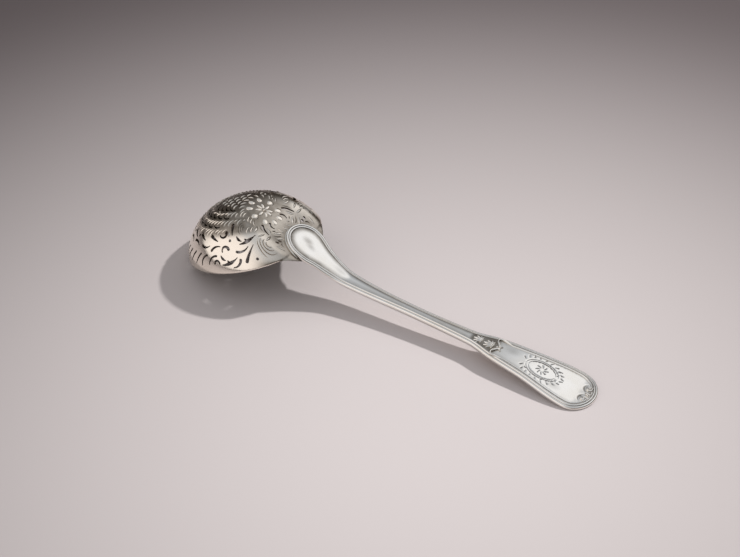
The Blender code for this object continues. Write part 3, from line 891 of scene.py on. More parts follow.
def border_profile(handle):
    """Rows of the handle's section from its underside up: inset, from below or not, offset and tarnish."""
    rows = [(SKIRT_WIDTH, True, 0.0, 0.0)]
    for t in np.linspace(0.0, np.pi / 2, EDGE_ROWS):
        rows.append((EDGE_ROUND * (1.0 - math.sin(t)), True, EDGE_ROUND * (1.0 - math.cos(t)), 0.0))
    for t in np.linspace(0.0, np.pi, BEAD_ROWS, endpoint=False):
        inset = handle.bead_width * (1.0 - math.cos(t)) / 2
        rows.append((inset, False, handle.bead_drop * (1.0 - math.sin(t) ** BEAD_POWER), 0.0))
    for thread in range(THREADS):
        for step, dark in enumerate(GROOVE_TARNISH):
            share = step / len(GROOVE_TARNISH)
            arch = math.sin(math.pi * share) ** THREAD_POWER
            depth = handle.thread_groove + (handle.thread_crest - handle.thread_groove) * arch
            inset = handle.bead_width + handle.thread_width * (thread + share)
            rows.append((inset, False, depth, dark))
    border = handle.bead_width + THREADS * handle.thread_width
    return [*rows, (border, False, handle.field_depth, GROOVE_TARNISH[0])]


def full_loop(half):
    """A half outline's points, and their mirror images back to its start."""
    other = half[-2:0:-1] * np.array([1.0, -1.0, 1.0][:half.shape[1]])
    return np.vstack([half, other])


def rounded(corners):
    """A smooth line through the corners."""
    p = np.vstack([2 * corners[0] - corners[1], corners, 2 * corners[-1] - corners[-2]])
    t = np.linspace(0.0, 1.0, SCROLL_STEPS, endpoint=False)[:, None]
    parts = []
    for a, b, c, d in zip(p, p[1:], p[2:], p[3:]):
        parts.append(b + (c - a) / 2 * t + (a - 2.5 * b + 2 * c - d / 2) * t ** 2
                     + (1.5 * (b - c) + (d - a) / 2) * t ** 3)
    return np.vstack([*parts, corners[-1:]])


# Node groups

def set_inputs(tree, node, values):
    """Joins each input to another node's output, or gives it a plain value."""
    for key, value in values.items():
        if isinstance(value, bpy.types.NodeSocket):
            tree.links.new(value, node.inputs[key])
        else:
            node.inputs[key].default_value = value


def add_node(tree, kind, values=None, **settings):
    node = tree.nodes.new(kind)
    for key, value in settings.items():
        setattr(node, key, value)
    set_inputs(tree, node, values or {})
    return node


def new_group(kind, name, inputs, outputs):
    """A node group with named sockets, the sockets of its two ends and a helper that adds nodes to it."""
    group = bpy.data.node_groups.new(name, kind)
    for label, holds, *default in inputs:
        socket = group.interface.new_socket(label, in_out="INPUT", socket_type="NodeSocket" + holds)
        if default:
            socket.default_value = default[0]
    for label, holds in outputs:
        group.interface.new_socket(label, in_out="OUTPUT", socket_type="NodeSocket" + holds)
    start = group.nodes.new("NodeGroupInput")
    end = group.nodes.new("NodeGroupOutput")
    return group, start.outputs, end.inputs, partial(add_node, group)


def shared_group(name, make):
    return bpy.data.node_groups.get(name) or make()


# Geometry node trees

def new_tree(name, *inputs):
    """A geometry tree that takes a piece, its sizes and its metal."""
    geometry = ("Geometry", "Geometry")
    return new_group("GeometryNodeTree", name, [geometry, *inputs, ("Material", "Material")], [geometry])


def finish_tree(tree, start, end, add, geometry):
    """The common ending of every tree: real geometry with its metal."""
    real = add("GeometryNodeRealizeInstances", {"Geometry": geometry})
    metal = add("GeometryNodeSetMaterial", {"Geometry": real.outputs[0], "Material": start["Material"]})
    tree.links.new(metal.outputs[0], end["Geometry"])
    return tree


def attribute(add, name, kind="FLOAT_VECTOR"):
    return add("GeometryNodeInputNamedAttribute", {"Name": name}, data_type=kind).outputs["Attribute"]


def run_tree(piece, tree, values):
    """Turns the piece into the plain mesh that the tree makes of it."""
    modifier = piece.modifiers.new(tree.name, "NODES")
    modifier.node_group = tree
    for item in tree.interface.items_tree:
        if item.in_out == "INPUT" and item.name in values:
            modifier[item.identifier] = values[item.name]
    graph = bpy.context.evaluated_depsgraph_get()
    made = bpy.data.meshes.new_from_object(piece.evaluated_get(graph))
    piece.modifiers.remove(modifier)
    old, piece.data = piece.data, made
    bpy.data.meshes.remove(old)
    made.name = piece.name
    finish_mesh(made, values["Material"], SHARP)
    return piece


def wall_tree():
    """Gives a worked sheet its wall: the inner side and the sawn edges, from the inner_place attribute."""
    tree, start, end, add = new_tree("Sheet Wall", ("Weld", "Float"), ("Inside", "Float"))
    drawn = add("GeometryNodeExtrudeMesh", {"Mesh": start["Geometry"], "Offset Scale": 0.0,
                                            "Individual": False})
    top = drawn.outputs["Top"]
    moved = add("GeometryNodeSetPosition", {"Geometry": drawn.outputs["Mesh"], "Selection": top,
                                            "Position": attribute(add, "inner_place")})
    # The inner side takes the Inside share of darkening: tarnish, and painted shade for the shaded inside of
    # the bowl
    plain = add("GeometryNodeStoreNamedAttribute", {"Geometry": moved.outputs[0], "Selection": top,
                                                    "Name": "cut", "Value": start["Inside"]})
    flipped = add("GeometryNodeFlipFaces", {"Mesh": plain.outputs[0]})
    both = add("GeometryNodeJoinGeometry")
    tree.links.new(flipped.outputs[0], both.inputs[0])
    tree.links.new(start["Geometry"], both.inputs[0])
    welded = add("GeometryNodeMergeByDistance", {"Geometry": both.outputs[0], "Distance": start["Weld"]})
    return finish_tree(tree, start, end, add, welded.outputs[0])


def wire_tree():
    """A round wire along the piece's edges, as thick as the wire_radius attribute says."""
    tree, start, end, add = new_tree("Wire Along Path", ("Sides", "Int"))
    path = add("GeometryNodeMeshToCurve", {"Mesh": start["Geometry"]})
    section = add("GeometryNodeCurvePrimitiveCircle", {"Resolution": start["Sides"], "Radius": 1.0})
    radius = attribute(add, "wire_radius", "FLOAT")
    swept = add("GeometryNodeCurveToMesh", {"Curve": path.outputs[0], "Scale": radius, "Fill Caps": True,
                                            "Profile Curve": section.outputs["Curve"]})
    return finish_tree(tree, start, end, add, swept.outputs[0])


def petal_tree():
    """Petals that grow from the piece's points: turned by petal_turn and sized by petal_size."""
    tree, start, end, add = new_tree("Petals On Points", ("Segments", "Int"))
    # A ball one unit across, moved so that it starts at the point that it grows from
    ball = add("GeometryNodeMeshUVSphere", {"Segments": start["Segments"], "Rings": PETAL_RINGS,
                                            "Radius": 0.5})
    petal = add("GeometryNodeTransform", {"Geometry": ball.outputs["Mesh"], "Translation": (0.5, 0.0, 0.0)})
    points = add("GeometryNodeMeshToPoints", {"Mesh": start["Geometry"]})
    placed = add("GeometryNodeInstanceOnPoints", {"Points": points.outputs[0], "Instance": petal.outputs[0],
                                                  "Rotation": attribute(add, "petal_turn"),
                                                  "Scale": attribute(add, "petal_size")})
    return finish_tree(tree, start, end, add, placed.outputs[0])


# Metal

def rgba(colour):
    return (*colour, 1.0)


def blend(add, share, first, second):
    """The colour that lies a share of the way from the first colour to the second."""
    values = {MIX_SHARE: share, MIX_FIRST: first, MIX_SECOND: second}
    return add("ShaderNodeMix", values, data_type="RGBA").outputs[MIX_RESULT]


def remap(add, value, source, target=(0.0, 1.0), curve="LINEAR"):
    """A value taken from one range to another."""
    values = dict(enumerate((value, *source, *target)))
    return add("ShaderNodeMapRange", values, interpolation_type=curve).outputs[0]


def reckon(add, operation, *values, clamp=False):
    return add("ShaderNodeMath", dict(enumerate(values)), operation=operation, use_clamp=clamp).outputs[0]


def tarnish_group():
    """Clouds of bloom on open metal and dark tarnish in the cuts: a colour and a roughness."""
    inputs = [("Clean", "Color"), ("Tarnish", "Color"), ("Bloom", "Color"), ("Cut", "Float"),
              ("Place", "Vector"), ("Cloud Scale", "Float", CLOUD_SCALE), ("Bloom Amount", "Float"),
              ("Polish", "Float")]
    outputs = [("Colour", "Color"), ("Roughness", "Float")]
    group, start, end, add = new_group("ShaderNodeTree", "Silver Tarnish", inputs, outputs)
    cloud = add("ShaderNodeTexNoise", {"Vector": start["Place"], "Scale": start["Cloud Scale"],
                                       "Detail": CLOUD_DETAIL, "Roughness": CLOUD_GRAIN})
    patch = remap(add, cloud.outputs[0], CLOUD_RANGE, (0.0, start["Bloom Amount"]))
    open_metal = blend(add, patch, start["Clean"], start["Bloom"])
    grime = add("ShaderNodeTexNoise", {"Vector": start["Place"], "Scale": GRIME_SCALE,
                                       "Detail": GRIME_DETAIL})
    left = remap(add, grime.outputs[0], GRIME_RANGE, GRIME_LEFT)
    dark = reckon(add, "MULTIPLY", start["Cut"], left, clamp=True)
    rough = reckon(add, "MULTIPLY_ADD", patch, BLOOM_ROUGHNESS, start["Polish"])
    dull = reckon(add, "MULTIPLY_ADD", dark, TARNISH_ROUGHNESS, rough, clamp=True)
    group.links.new(blend(add, dark, open_metal, start["Tarnish"]), end["Colour"])
    group.links.new(dull, end["Roughness"])
    return group


def hairline_group():
    """Fine scratches from use, in two directions: a height."""
    inputs = [("Place", "Vector"), ("Along", "Float", HAIRLINE_ALONG), ("Across", "Float", HAIRLINE_ACROSS)]
    group, start, end, add = new_group("ShaderNodeTree", "Hairlines", inputs, [("Height", "Float")])
    stretch = add("ShaderNodeCombineXYZ", {"X": start["Along"], "Y": start["Across"], "Z": start["Across"]})
    heights = []
    for turn in HAIRLINE_TURNS:
        swung = add("ShaderNodeVectorRotate", {"Vector": start["Place"], "Angle": turn},
                    rotation_type="Z_AXIS")
        drawn = add("ShaderNodeVectorMath", {0: swung.outputs[0], 1: stretch.outputs[0]},
                    operation="MULTIPLY")
        noise = add("ShaderNodeTexNoise", {"Vector": drawn.outputs[0], "Scale": 1.0,
                                           "Detail": HAIRLINE_DETAIL})
        heights.append(noise.outputs[0])
    group.links.new(reckon(add, "ADD", *heights), end["Height"])
    return group


def new_material(name):
    """A material with its plain shader, and a helper that adds nodes to it."""
    material = bpy.data.materials.new(name)
    material.use_nodes = True
    return material, partial(add_node, material.node_tree)


def set_shader(material, values):
    tree = material.node_tree
    set_inputs(tree, tree.nodes["Principled BSDF"], values)


def silver(name, clean, finish):
    """Silver with tarnish in its cuts, bloom in clouds and hairlines all over."""
    material = bpy.data.materials.get(name)
    if material:
        return material
    material, add = new_material(name)
    polish, bloom, scratch = FINISHES[name]
    place = add("ShaderNodeTexCoord").outputs["Object"]
    cut = add("ShaderNodeAttribute", attribute_name="cut").outputs["Fac"]
    metal = {"Clean": rgba(clean), "Tarnish": rgba(finish.tarnish), "Bloom": rgba(finish.bloom),
             "Bloom Amount": bloom, "Polish": polish, "Place": place, "Cut": cut}
    tarnish = add("ShaderNodeGroup", metal, node_tree=shared_group("Silver Tarnish", tarnish_group))
    lines = add("ShaderNodeGroup", {"Place": place}, node_tree=shared_group("Hairlines", hairline_group))
    bump = add("ShaderNodeBump", {"Height": lines.outputs["Height"], "Strength": scratch,
                                  "Distance": HAIRLINE_DEPTH})
    set_shader(material, {"Base Color": tarnish.outputs["Colour"], "Roughness": tarnish.outputs["Roughness"],
                          "Normal": bump.outputs["Normal"], "Metallic": 1.0})
    return material


def bowl_silver(finish):
    return silver("bowl_finish", finish.old_silver, finish)


def handle_silver(finish):
    return silver("handle_finish", finish.silver, finish)


def solder_silver(finish):
    return silver("solder_finish", finish.solder, finish)


# What every piece needs

def new_piece(name, points, faces, edges=()):
    mesh = bpy.data.meshes.new(name)
    mesh.from_pydata(np.asarray(points).tolist(), list(edges), [list(face) for face in faces])
    piece = bpy.data.objects.new(name, mesh)
    bpy.context.scene.collection.objects.link(piece)
    return piece


def set_attribute(piece, name, kind, values):
    made = piece.data.attributes.new(name, kind, "POINT")
    field = "vector" if kind == "FLOAT_VECTOR" else "value"
    made.data.foreach_set(field, np.asarray(values, np.float32).ravel())


def finish_mesh(mesh, material, sharp):
    mesh.materials.clear()
    mesh.materials.append(material)
    mesh.shade_smooth()
    mesh.set_sharp_from_angle(angle=sharp)


def settle(piece, slot, *nodes):
    """Makes the piece ride on the spoon, and stand for its solid."""
    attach(piece, BODY)
    if nodes:
        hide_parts(*nodes)


def make_wires(name, paths, material):
    """One piece of round wires, each path given as points and radii."""
    points, radii, edges = [], [], []
    for path, radius in paths:
        first = len(points)
        points.extend(path)
        radii.extend(radius)
        edges.extend((first + i, first + i + 1) for i in range(len(path) - 1))
    piece = new_piece(name, points, [], edges)
    set_attribute(piece, "wire_radius", "FLOAT", radii)
    tree = shared_group("Wire Along Path", wire_tree)
    return run_tree(piece, tree, {"Sides": WIRE_SIDES, "Material": material})


class Petals:
    """Petals gathered for one piece: where each grows from, how it lies and its size."""

    def __init__(self):
        self.places, self.turns, self.sizes = [], [], []

    def add(self, place, along, up, size):
        """A petal from a place, lying along one direction with its back towards another."""
        up = Vector(up).normalized()
        along = Vector(along)
        along = (along - up * along.dot(up)).normalized()
        self.places.append(tuple(place))
        self.turns.append(tuple(Matrix((along, up.cross(along), up)).transposed().to_euler()))
        self.sizes.append(size)

    def pearl(self, place, up, size):
        along = Vector((1.0, 0.0, 0.0))
        self.add(Vector(place) - along * size / 2, along, up, (size, size, size))

    def make(self, name, material):
        piece = new_piece(name, self.places, [])
        set_attribute(piece, "petal_turn", "FLOAT_VECTOR", self.turns)
        set_attribute(piece, "petal_size", "FLOAT_VECTOR", self.sizes)
        tree = shared_group("Petals On Points", petal_tree)
        return run_tree(piece, tree, {"Segments": PETAL_SEGMENTS, "Material": material})


def clear_run(sheet, line, gap):
    """The longest stretch of a line that keeps clear of what is already drawn, or None."""
    free = sheet.clear_of(line, gap) & inside(line, sheet.edge)
    best, first = (0, 0), 0
    for i in range(len(line) + 1):
        if i == len(line) or not free[i]:
            best = max(best, (i - first, -first))
            first = i + 1
    count, start = best[0], -best[1]
    run = line[start:start + count]
    if count < SHORTEST_RUN or np.diff(lengths_along(run)).min() < MERGE:
        return None
    return run


def cut_line(sheet, line, width, depth, clear=CUT_CLEAR):
    run = clear_run(sheet, line, width * clear)
    if run is not None:
        sheet.work(run, width, -depth, CUT_SWELL)


def raise_line(sheet, line, width, height):
    run = clear_run(sheet, line, width * RAISE_CLEAR)
    if run is not None:
        sheet.work(run, width, height, RAISE_SWELL)


# Bowl

def sawn_strokes():
    """Every sawn stroke on one side: stroke, angle, distance from the rim, heading and turn."""
    strokes = [(s, math.radians(a), d, math.radians(h), t) for s, a, d, h, t in SPRAY]
    for stroke, first, step, last, distance, heading in ROWS:
        for angle in range(first, last, step):
            strokes.append((stroke, math.radians(angle), distance, math.radians(heading), 1))
    return strokes


def saw_bowl(sheet, dome, bowl):
    """Sawn strokes, and an engraved line along the outer side of those next to the tongue."""
    for stroke, angle, distance, heading, turn in sawn_strokes():
        for side in SIDES:
            sheet.pierce(dome.wrap(stroke_outline(stroke, turn), angle, distance, heading, side))
    for stroke, angle, distance, heading, turn in sawn_strokes():
        if stroke is not SLOT:
            continue
        spine, headings = bent_line(stroke.length, stroke.bend * turn)
        outward = -np.sign(stroke.bend * turn)
        offset = (half_widths(stroke) + bowl.groove_width) * outward
        line = (spine + unit(headings + np.pi / 2) * offset[:, None])[1:-1]
        for side in SIDES:
            laid = dome.wrap(line, angle, distance, heading, side)
            cut_line(sheet, laid, bowl.groove_width, bowl.groove_depth)


def engrave_bowl(sheet, dome, bowl):
    """Scrolls and leaves one by one, on both sides of the flower."""
    for side in SIDES:
        for along, across, heading, length, width in LEAVES:
            line, _ = bent_line(length, LEAF_BEND)
            laid = dome.drop(turned(line, math.radians(heading)) + (along, across), side)
            raise_line(sheet, laid, width, bowl.leaf_height)
        for along, across, start, sweep, radii in ARCS:
            for radius in radii:
                laid = dome.drop(arc_line((along, across), radius, start, sweep), side)
                cut_line(sheet, laid, bowl.groove_width * ARC_BOLD, bowl.groove_depth * ARC_BOLD)


def near_flower(along, across):
    return math.hypot(along - FLOWER_ALONG, across) < FLOWER_CLEAR


def chase_rays(sheet, dome, bowl):
    """Bent rays round the flower."""
    for turn in 2 * np.pi * (np.arange(FLOWER_RAYS) + 0.5) / FLOWER_RAYS:
        line = turned(bent_line(RAY_LENGTH, RAY_BEND)[0], turn) + unit(turn) * FLOWER_CLEAR
        raise_line(sheet, dome.drop(line + (FLOWER_ALONG, 0.0), 1.0), BARB_WIDTH, bowl.leaf_height)


def chase_barbs(sheet, dome, bowl):
    """Rows of barbs round the crown, each row half a pitch on from the last, where there is room."""
    for row, (distance, length) in enumerate(BARB_ROWS):
        line, _ = bent_line(length, BARB_BEND)
        line = line - line[STROKE_STEPS // 2]
        ring = np.interp(distance, *dome.meridian(np.pi / 2))
        count = round(np.pi * ring * (dome.half_length + dome.half_width) / 2 / BARB_PITCH)
        for i in range(count):
            angle = np.pi * (i + BARB_PHASE + 0.5 * (row % 2)) / count
            along = dome.half_length * ring * math.cos(angle)
            across = dome.half_width * ring * math.sin(angle)
            if along > CROWN_END or near_flower(along, across):
                continue
            for side in SIDES:
                laid = dome.wrap(line, angle, distance, BARB_HEADING, side)
                raise_line(sheet, laid, BARB_WIDTH, bowl.leaf_height)


def chase_scales(sheet, dome, bowl):
    """Staggered rows of scales on the crown's top, where there is room."""
    reach = int(dome.half_width / SCALE_PITCH)
    for row, along in enumerate(np.arange(-dome.half_length, CROWN_END, SCALE_ROW)):
        for i in range(-reach, reach + 1):
            across = SCALE_PITCH * (i + 0.5 * (row % 2))
            if near_flower(along, across) or dome.from_rim(along, across) < SCALES_FROM_RIM:
                continue
            line = arc_line((along, across), SCALE_RADIUS, SCALE_START, SCALE_SWEEP)
            raise_line(sheet, dome.drop(line, 1.0), SCALE_WIDTH, bowl.leaf_height)


def crown_tarnish_and_shade(dome, ring, angle, bar, laid):
    """Share of tarnish and painted shade on the ground of the chased crown and round the tongue."""
    inward = dome.reach[-1] - np.interp(ring, dome.rings, dome.reach)
    along = dome.half_length * ring * np.cos(angle)
    heel = 1.0 - HEEL_CLEAN * ease((along - HEEL_CLEAN_START) / HEEL_CLEAN_LENGTH)
    # Tarnish and painted shade on the crown's ground, standing for its dark reflection; less of it towards
    # the heel
    crown = CROWN_TARNISH_AND_SHADE * heel * ease((inward - CROWN_EDGE) / CROWN_FADE)
    # Tarnish and painted shade round the tongue
    tongue = full_loop(bar.outline()[0])
    gap = np.array([np.linalg.norm(tongue - place, axis=1).min() for place in laid[:, :2]])
    return np.maximum(crown, JOINT_TARNISH_AND_SHADE * (1.0 - ease(gap / JOINT_REACH)))


def rim_easing(surface):
    """How far the rim's outer corner is eased back, from each point's height over the rim."""
    share = np.clip(1.0 - surface[:, 2] / RIM_ROUND, 0.0, 1.0)
    return RIM_EASE * share ** 2


def bowl_sheet(dome, bowl):
    """Flat drawing of the bowl: its rim with a few loops inside it, and all that is worked on it."""
    around = np.linspace(0.0, 2 * np.pi, RIM_STEPS, endpoint=False)
    sheet = Sheet(dome.flat(np.ones(RIM_STEPS), around))
    for distance in RIM_LOOPS:
        ring = np.array([np.interp(distance, *dome.meridian(angle)) for angle in around])
        loop = dome.flat(ring, around)
        sheet.lines.append(np.vstack([loop, loop[:1]]))
    for work in (saw_bowl, engrave_bowl, chase_rays, chase_barbs, chase_scales):
        work(sheet, dome, bowl)
    return sheet


def make_bowl(bowl, handle, finish):
    """The bowl: its drawing bent onto the dome, with a wall."""
    dome = Dome(bowl)
    sheet = bowl_sheet(dome, bowl)
    places, tris, _ = sheet.triangles(bowl.spacing)
    ring, angle = dome.unflat(places)
    cut, raised = sheet.rise_at(places)
    surface, normal = dome.point(ring, angle), dome.normal(ring, angle)
    rise = cut + raised - rim_easing(surface)
    outer = dome.lay(surface + normal * rise[:, None])
    inner = dome.lay(surface - normal * bowl.wall)
    a, b, c = (outer[tris[:, i]] for i in range(3))
    outwards = (np.cross(b - a, c - a) * (outer - inner)[tris[:, 0]]).sum(1) > 0.0
    tris[~outwards] = tris[~outwards][:, ::-1]
    piece = new_piece("engraved_bowl", outer, tris)
    set_attribute(piece, "inner_place", "FLOAT_VECTOR", inner)
    bare = 1.0 - np.sqrt(np.clip(raised / bowl.leaf_height, 0.0, 1.0))
    # Darkening of the crown's ground and round the tongue, tarnish and painted shade; raised work is left
    # bare
    ground = crown_tarnish_and_shade(dome, ring, angle, Bar(dome, handle), outer) * bare
    set_attribute(piece, "cut", "FLOAT", np.maximum(ground, np.clip(-cut / bowl.groove_depth, 0.0, 1.0)))
    # Its inside is darkened by the Inside share: tarnish and painted shade
    run_tree(piece, shared_group("Sheet Wall", wall_tree),
             {"Weld": MERGE, "Inside": finish.inside, "Material": bowl_silver(finish)})
    settle(piece, "raised_silver", "pierced_bowl")


def make_flower(bowl, finish):
    """The chased flower on the bowl's heel: petals, a ring of lobes and a pearl."""
    dome = Dome(bowl)
    petals = Petals()

    def seat(along, across):
        ring, angle = dome.polar(along, across)
        normal = dome.lay(dome.normal(ring, angle)) - dome.lay(np.zeros(3))
        return dome.lay(dome.point(ring, angle)), normal

    for count, radius, phase, size in FLOWER_RINGS:
        for turn in 2 * np.pi * (np.arange(count) + phase) / count:
            at = unit(turn) * radius + (FLOWER_ALONG, 0.0)
            place, up = seat(*at)
            ahead, _ = seat(*(at + unit(turn) * PETAL_PROBE))
            petals.add(place, ahead - place, up, size)
    place, up = seat(FLOWER_ALONG, 0.0)
    petals.pearl(place + up * FLOWER_PEARL_LIFT, up, FLOWER_PEARL)
    piece = petals.make("heel_flower", bowl_silver(finish))
    settle(piece, "raised_silver")


# Handle

def tongue_skirt(dome, bar):
    """How far the tongue's edge hangs down to the bowl's back, fading out past the lip."""
    depths = []
    for x, y in bar.outline()[0]:
        top = dome.top(x, y)
        if top is None:
            depths.append(depths[-1] * SKIRT_FADE)
        else:
            depths.append(max(bar.underside(x) - top - SKIRT_CLEAR, 0.0))
    return np.array(depths)


def border_loops(bar, handle, skirt):
    """Loops round the handle from its underside to the field's edge, and the tarnish on each."""
    loops, tarnish = [], []
    for inset, below, offset, dark in border_profile(handle):
        place = bar.inset(inset)
        x = place[:, 0]
        if below:
            height = bar.underside(x) + offset - skirt * (inset < SKIRT_WIDTH)
        else:
            height = bar.top(x) - offset - bar.fall(x) * (1.0 - inset / bar.border)
        loops.append(full_loop(np.column_stack([place, height])))
        tarnish.append(np.full(len(loops[-1]), dark))
    return loops, tarnish


def loop_faces(rows, count):
    """Faces between the loops, and strips across the handle that close the first loop underneath."""
    faces = []
    for low in range(0, (rows - 1) * count, count):
        high = low + count
        for i in range(count):
            j = (i + 1) % count
            faces.append((low + i, low + j, high + j, high + i))
    for i in range(count // 2):
        mirror = [0 if k == 0 else count - k for k in (i + 1, i)]
        faces.append(tuple(dict.fromkeys((i, i + 1, *mirror)))[::-1])
    return faces


def frame_path(bar):
    """The frame line in plan on the side of +Y, and its volute: a scroll, a long line and a spiral."""
    inner = bar.inset(bar.border, FRAME_INSET)
    eye_x, eye_y, radius = VOLUTE
    long = inner[(inner[:, 0] > FRAME_JOIN) & (inner[:, 1] > eye_y + radius * FRAME_STOP)]
    turn = np.radians(np.linspace(*VOLUTE_WIND, VOLUTE_STEPS))
    curl = unit(turn) * radius * np.linspace(1.0, VOLUTE_EYE, VOLUTE_STEPS)[:, None] + (eye_x, eye_y)
    return np.vstack([rounded(np.vstack([FRAME_START, long[:1]])), long[1:]]), curl


def medallion_lines():
    """Lines of the medallion in plan: ovals in halves, a whirl of rays in them and laurel round them."""
    x, length, width = MEDALLION
    lines = []
    half = OVAL_STEPS // 2
    for grow in OVALS:
        oval = unit(np.linspace(0.0, 2 * np.pi, OVAL_STEPS + 1)) * (length * grow, width * grow) + (x, 0.0)
        lines += [oval[:half + 1], oval[half:]]
    ray, _ = bent_line(width * WHIRL_LENGTH, WHIRL_BEND, WHIRL_STEPS)
    for i in range(WHIRL_RAYS):
        turn = 2 * math.pi * i / WHIRL_RAYS
        lines.append(turned(ray, turn) + unit(turn) * width * WHIRL_START + (x, 0.0))
    for side in SIDES:
        for i in range(LAUREL_LEAVES):
            turn = math.radians(LAUREL_START + LAUREL_STEP * i)
            at = (x - math.cos(turn) * (length + LAUREL_GAP[0]),
                  side * math.sin(turn) * (width + LAUREL_GAP[1]))
            for lean in SIDES:
                leaf, _ = bent_line(LAUREL_LENGTH, LAUREL_BEND * lean, LAUREL_STEPS)
                ahead = math.atan2(side * math.cos(turn), math.sin(turn))
                lines.append(turned(leaf, ahead + math.radians(LAUREL_LEAN * lean)) + at)
    return lines


def field_sheet(bar, handle, edge):
    """Flat drawing of the field: rows of points along its edge, the frame's sunk lines and the medallion."""
    sheet = Sheet(edge)
    for inset in FIELD_LOOPS:
        line = bar.inset(bar.border + inset)
        line = line[line[:, 0] < FIELD_LOOPS_END]
        sheet.lines.append(np.vstack([line[:0:-1] * (1.0, -1.0), line]))
    frame_line, _ = frame_path(bar)
    halo = arc_line(VOLUTE[:2], VOLUTE[2] + handle.frame_groove / 2, HALO_START, HALO_SWEEP, VOLUTE_STEPS)
    for side in SIDES:
        for line in (frame_line[SUNK_START:], halo):
            cut_line(sheet, line * (1.0, side), handle.frame_groove, handle.groove_depth, FRAME_CLEAR)
    for line in medallion_lines():
        cut_line(sheet, line, handle.groove_width, handle.groove_depth, FIELD_CLEAR)
    return sheet


def field_tarnish_and_shade(bar, places):
    """Tarnish left on the field round the buds, painted shade along the border, and a few darker clouds."""
    x, y = places.T
    buds = BUD_TARNISH * ease((x - BUD_GROUND[0]) / BUD_FADE) * ease((BUD_GROUND[1] - x) / BUD_FADE)
    # Painted shade along the inside of the border, stronger at the tongue
    neck = ease((x - EDGE_CHANGE[0]) / (EDGE_CHANGE[1] - EDGE_CHANGE[0]))
    edge_shade_depth = EDGE_SHADE[0] * (1.0 - neck) + EDGE_SHADE[1] * neck
    edge = edge_shade_depth * (1.0 - ease(bar.inside_field(places) / EDGE_REACH))
    share = np.maximum(buds, edge)
    for at_x, at_y, long, wide, dark in CLOUDS:
        away = np.hypot((x - at_x) / long, (y - at_y) / wide)
        share = np.maximum(share, dark * (1.0 - ease(away)))
    return share


def turn_outwards(piece):
    mesh = bmesh.new()
    mesh.from_mesh(piece.data)
    bmesh.ops.recalc_face_normals(mesh, faces=mesh.faces)
    mesh.to_mesh(piece.data)
    mesh.free()


def make_handle(bowl, handle, finish):
    """The handle: a threaded border swept round its outline, and the engraved field inside it."""
    dome = Dome(bowl)
    bar = Bar(dome, handle)
    loops, tarnish = border_loops(bar, handle, tongue_skirt(dome, bar))
    rows, count = len(loops), len(loops[0])
    faces = loop_faces(rows, count)
    sheet = field_sheet(bar, handle, loops[-1][::-1, :2])
    places, tris, on_edge = sheet.triangles(handle.spacing)
    cut, _ = sheet.rise_at(places)
    field = np.column_stack([places, bar.field_height(places) + cut])
    inner = on_edge < 0
    first = rows * count
    ids = np.where(inner, first + np.cumsum(inner) - 1, first - 1 - on_edge)
    faces.extend(ids[tris].tolist())
    # Tarnish in the cut lines and round the buds, and painted shade along the field's edge
    ground = np.maximum(np.clip(-cut / handle.groove_depth, 0.0, 1.0), field_tarnish_and_shade(bar, places))
    piece = new_piece("struck_handle", np.vstack([*loops, field[inner]]), faces)
    turn_outwards(piece)
    set_attribute(piece, "cut", "FLOAT", np.concatenate([*tarnish, ground[inner]]))
    finish_mesh(piece.data, handle_silver(finish), HANDLE_SHARP)
    settle(piece, "struck_silver", "handle")


def make_scrolls(bowl, handle, finish):
    """The raised frame line inside the threads: a scroll, a long line and a volute on each side."""
    bar = Bar(Dome(bowl), handle)
    line, curl = frame_path(bar)
    path = np.vstack([line, curl])
    bold = 1.0 - ease((path[:, 0] - FRAME_BOLD[0]) / (FRAME_BOLD[1] - FRAME_BOLD[0]))
    lift = np.concatenate([SCROLL_LIFT * bold[:len(line)], np.full(len(curl), VOLUTE_LIFT)])
    radii = handle.wire * (1.0 + SCROLL_BOLD * bold)
    radii[-VOLUTE_STEPS:] = handle.wire * np.linspace(1.0, VOLUTE_BOLD, VOLUTE_STEPS)
    paths = []
    for side in SIDES:
        placed = path * (1.0, side)
        paths.append((np.column_stack([placed, bar.field_height(placed) + lift]), radii))
    piece = make_wires("scroll_frame", paths, handle_silver(finish))
    settle(piece, "struck_silver")


def leaning(leaves, middle):
    """Each leaf's direction to either side of the middle, and its shares."""
    for lean, *shares in leaves:
        for side in SIDES if lean else SIDES[:1]:
            turn = math.radians(middle + side * lean)
            yield Vector((math.cos(turn), math.sin(turn), 0.0)), shares


def make_ornaments(bowl, handle, finish):
    """Buds above the frame's scrolls, pearls in its eyes and a palmette at the handle's end."""
    bar = Bar(Dome(bowl), handle)
    up = Vector((0.0, 0.0, 1.0))
    petals = Petals()

    def on_field(x, y=0.0, lift=0.0):
        return Vector((x, y, float(bar.field_height(np.array([[x, y]]))[0]) + lift))

    for base, length, width in BUDS:
        for ahead, (long, wide) in leaning(BUD_LEAVES, BUD_HEADING):
            rise = on_field(base + BUD_PROBE * ahead.x).z - on_field(base).z
            size = (length * long, width * wide, handle.bud_height * BUD_THICKNESS)
            petals.add(on_field(base), ahead + up * rise / BUD_PROBE, up, size)
        petals.pearl(on_field(base, lift=BUD_PEARL_LIFT), up, width * BUD_PEARL)
    base, length, width = PALMETTE
    for ahead, (long,) in leaning(PALMETTE_LEAVES, PALMETTE_HEADING):
        petals.add(on_field(base), ahead, up, (length * long, width, handle.bud_height * PALMETTE_THICKNESS))
    for side in SIDES:
        petals.pearl(on_field(VOLUTE[0], side * VOLUTE[1], PEARL_LIFT), up, EYE_PEARL)
    petals.pearl(on_field(SCROLL_PEARL_ALONG, lift=PEARL_LIFT), up, SCROLL_PEARL)
    piece = petals.make("struck_ornaments", handle_silver(finish))
    settle(piece, "struck_silver")


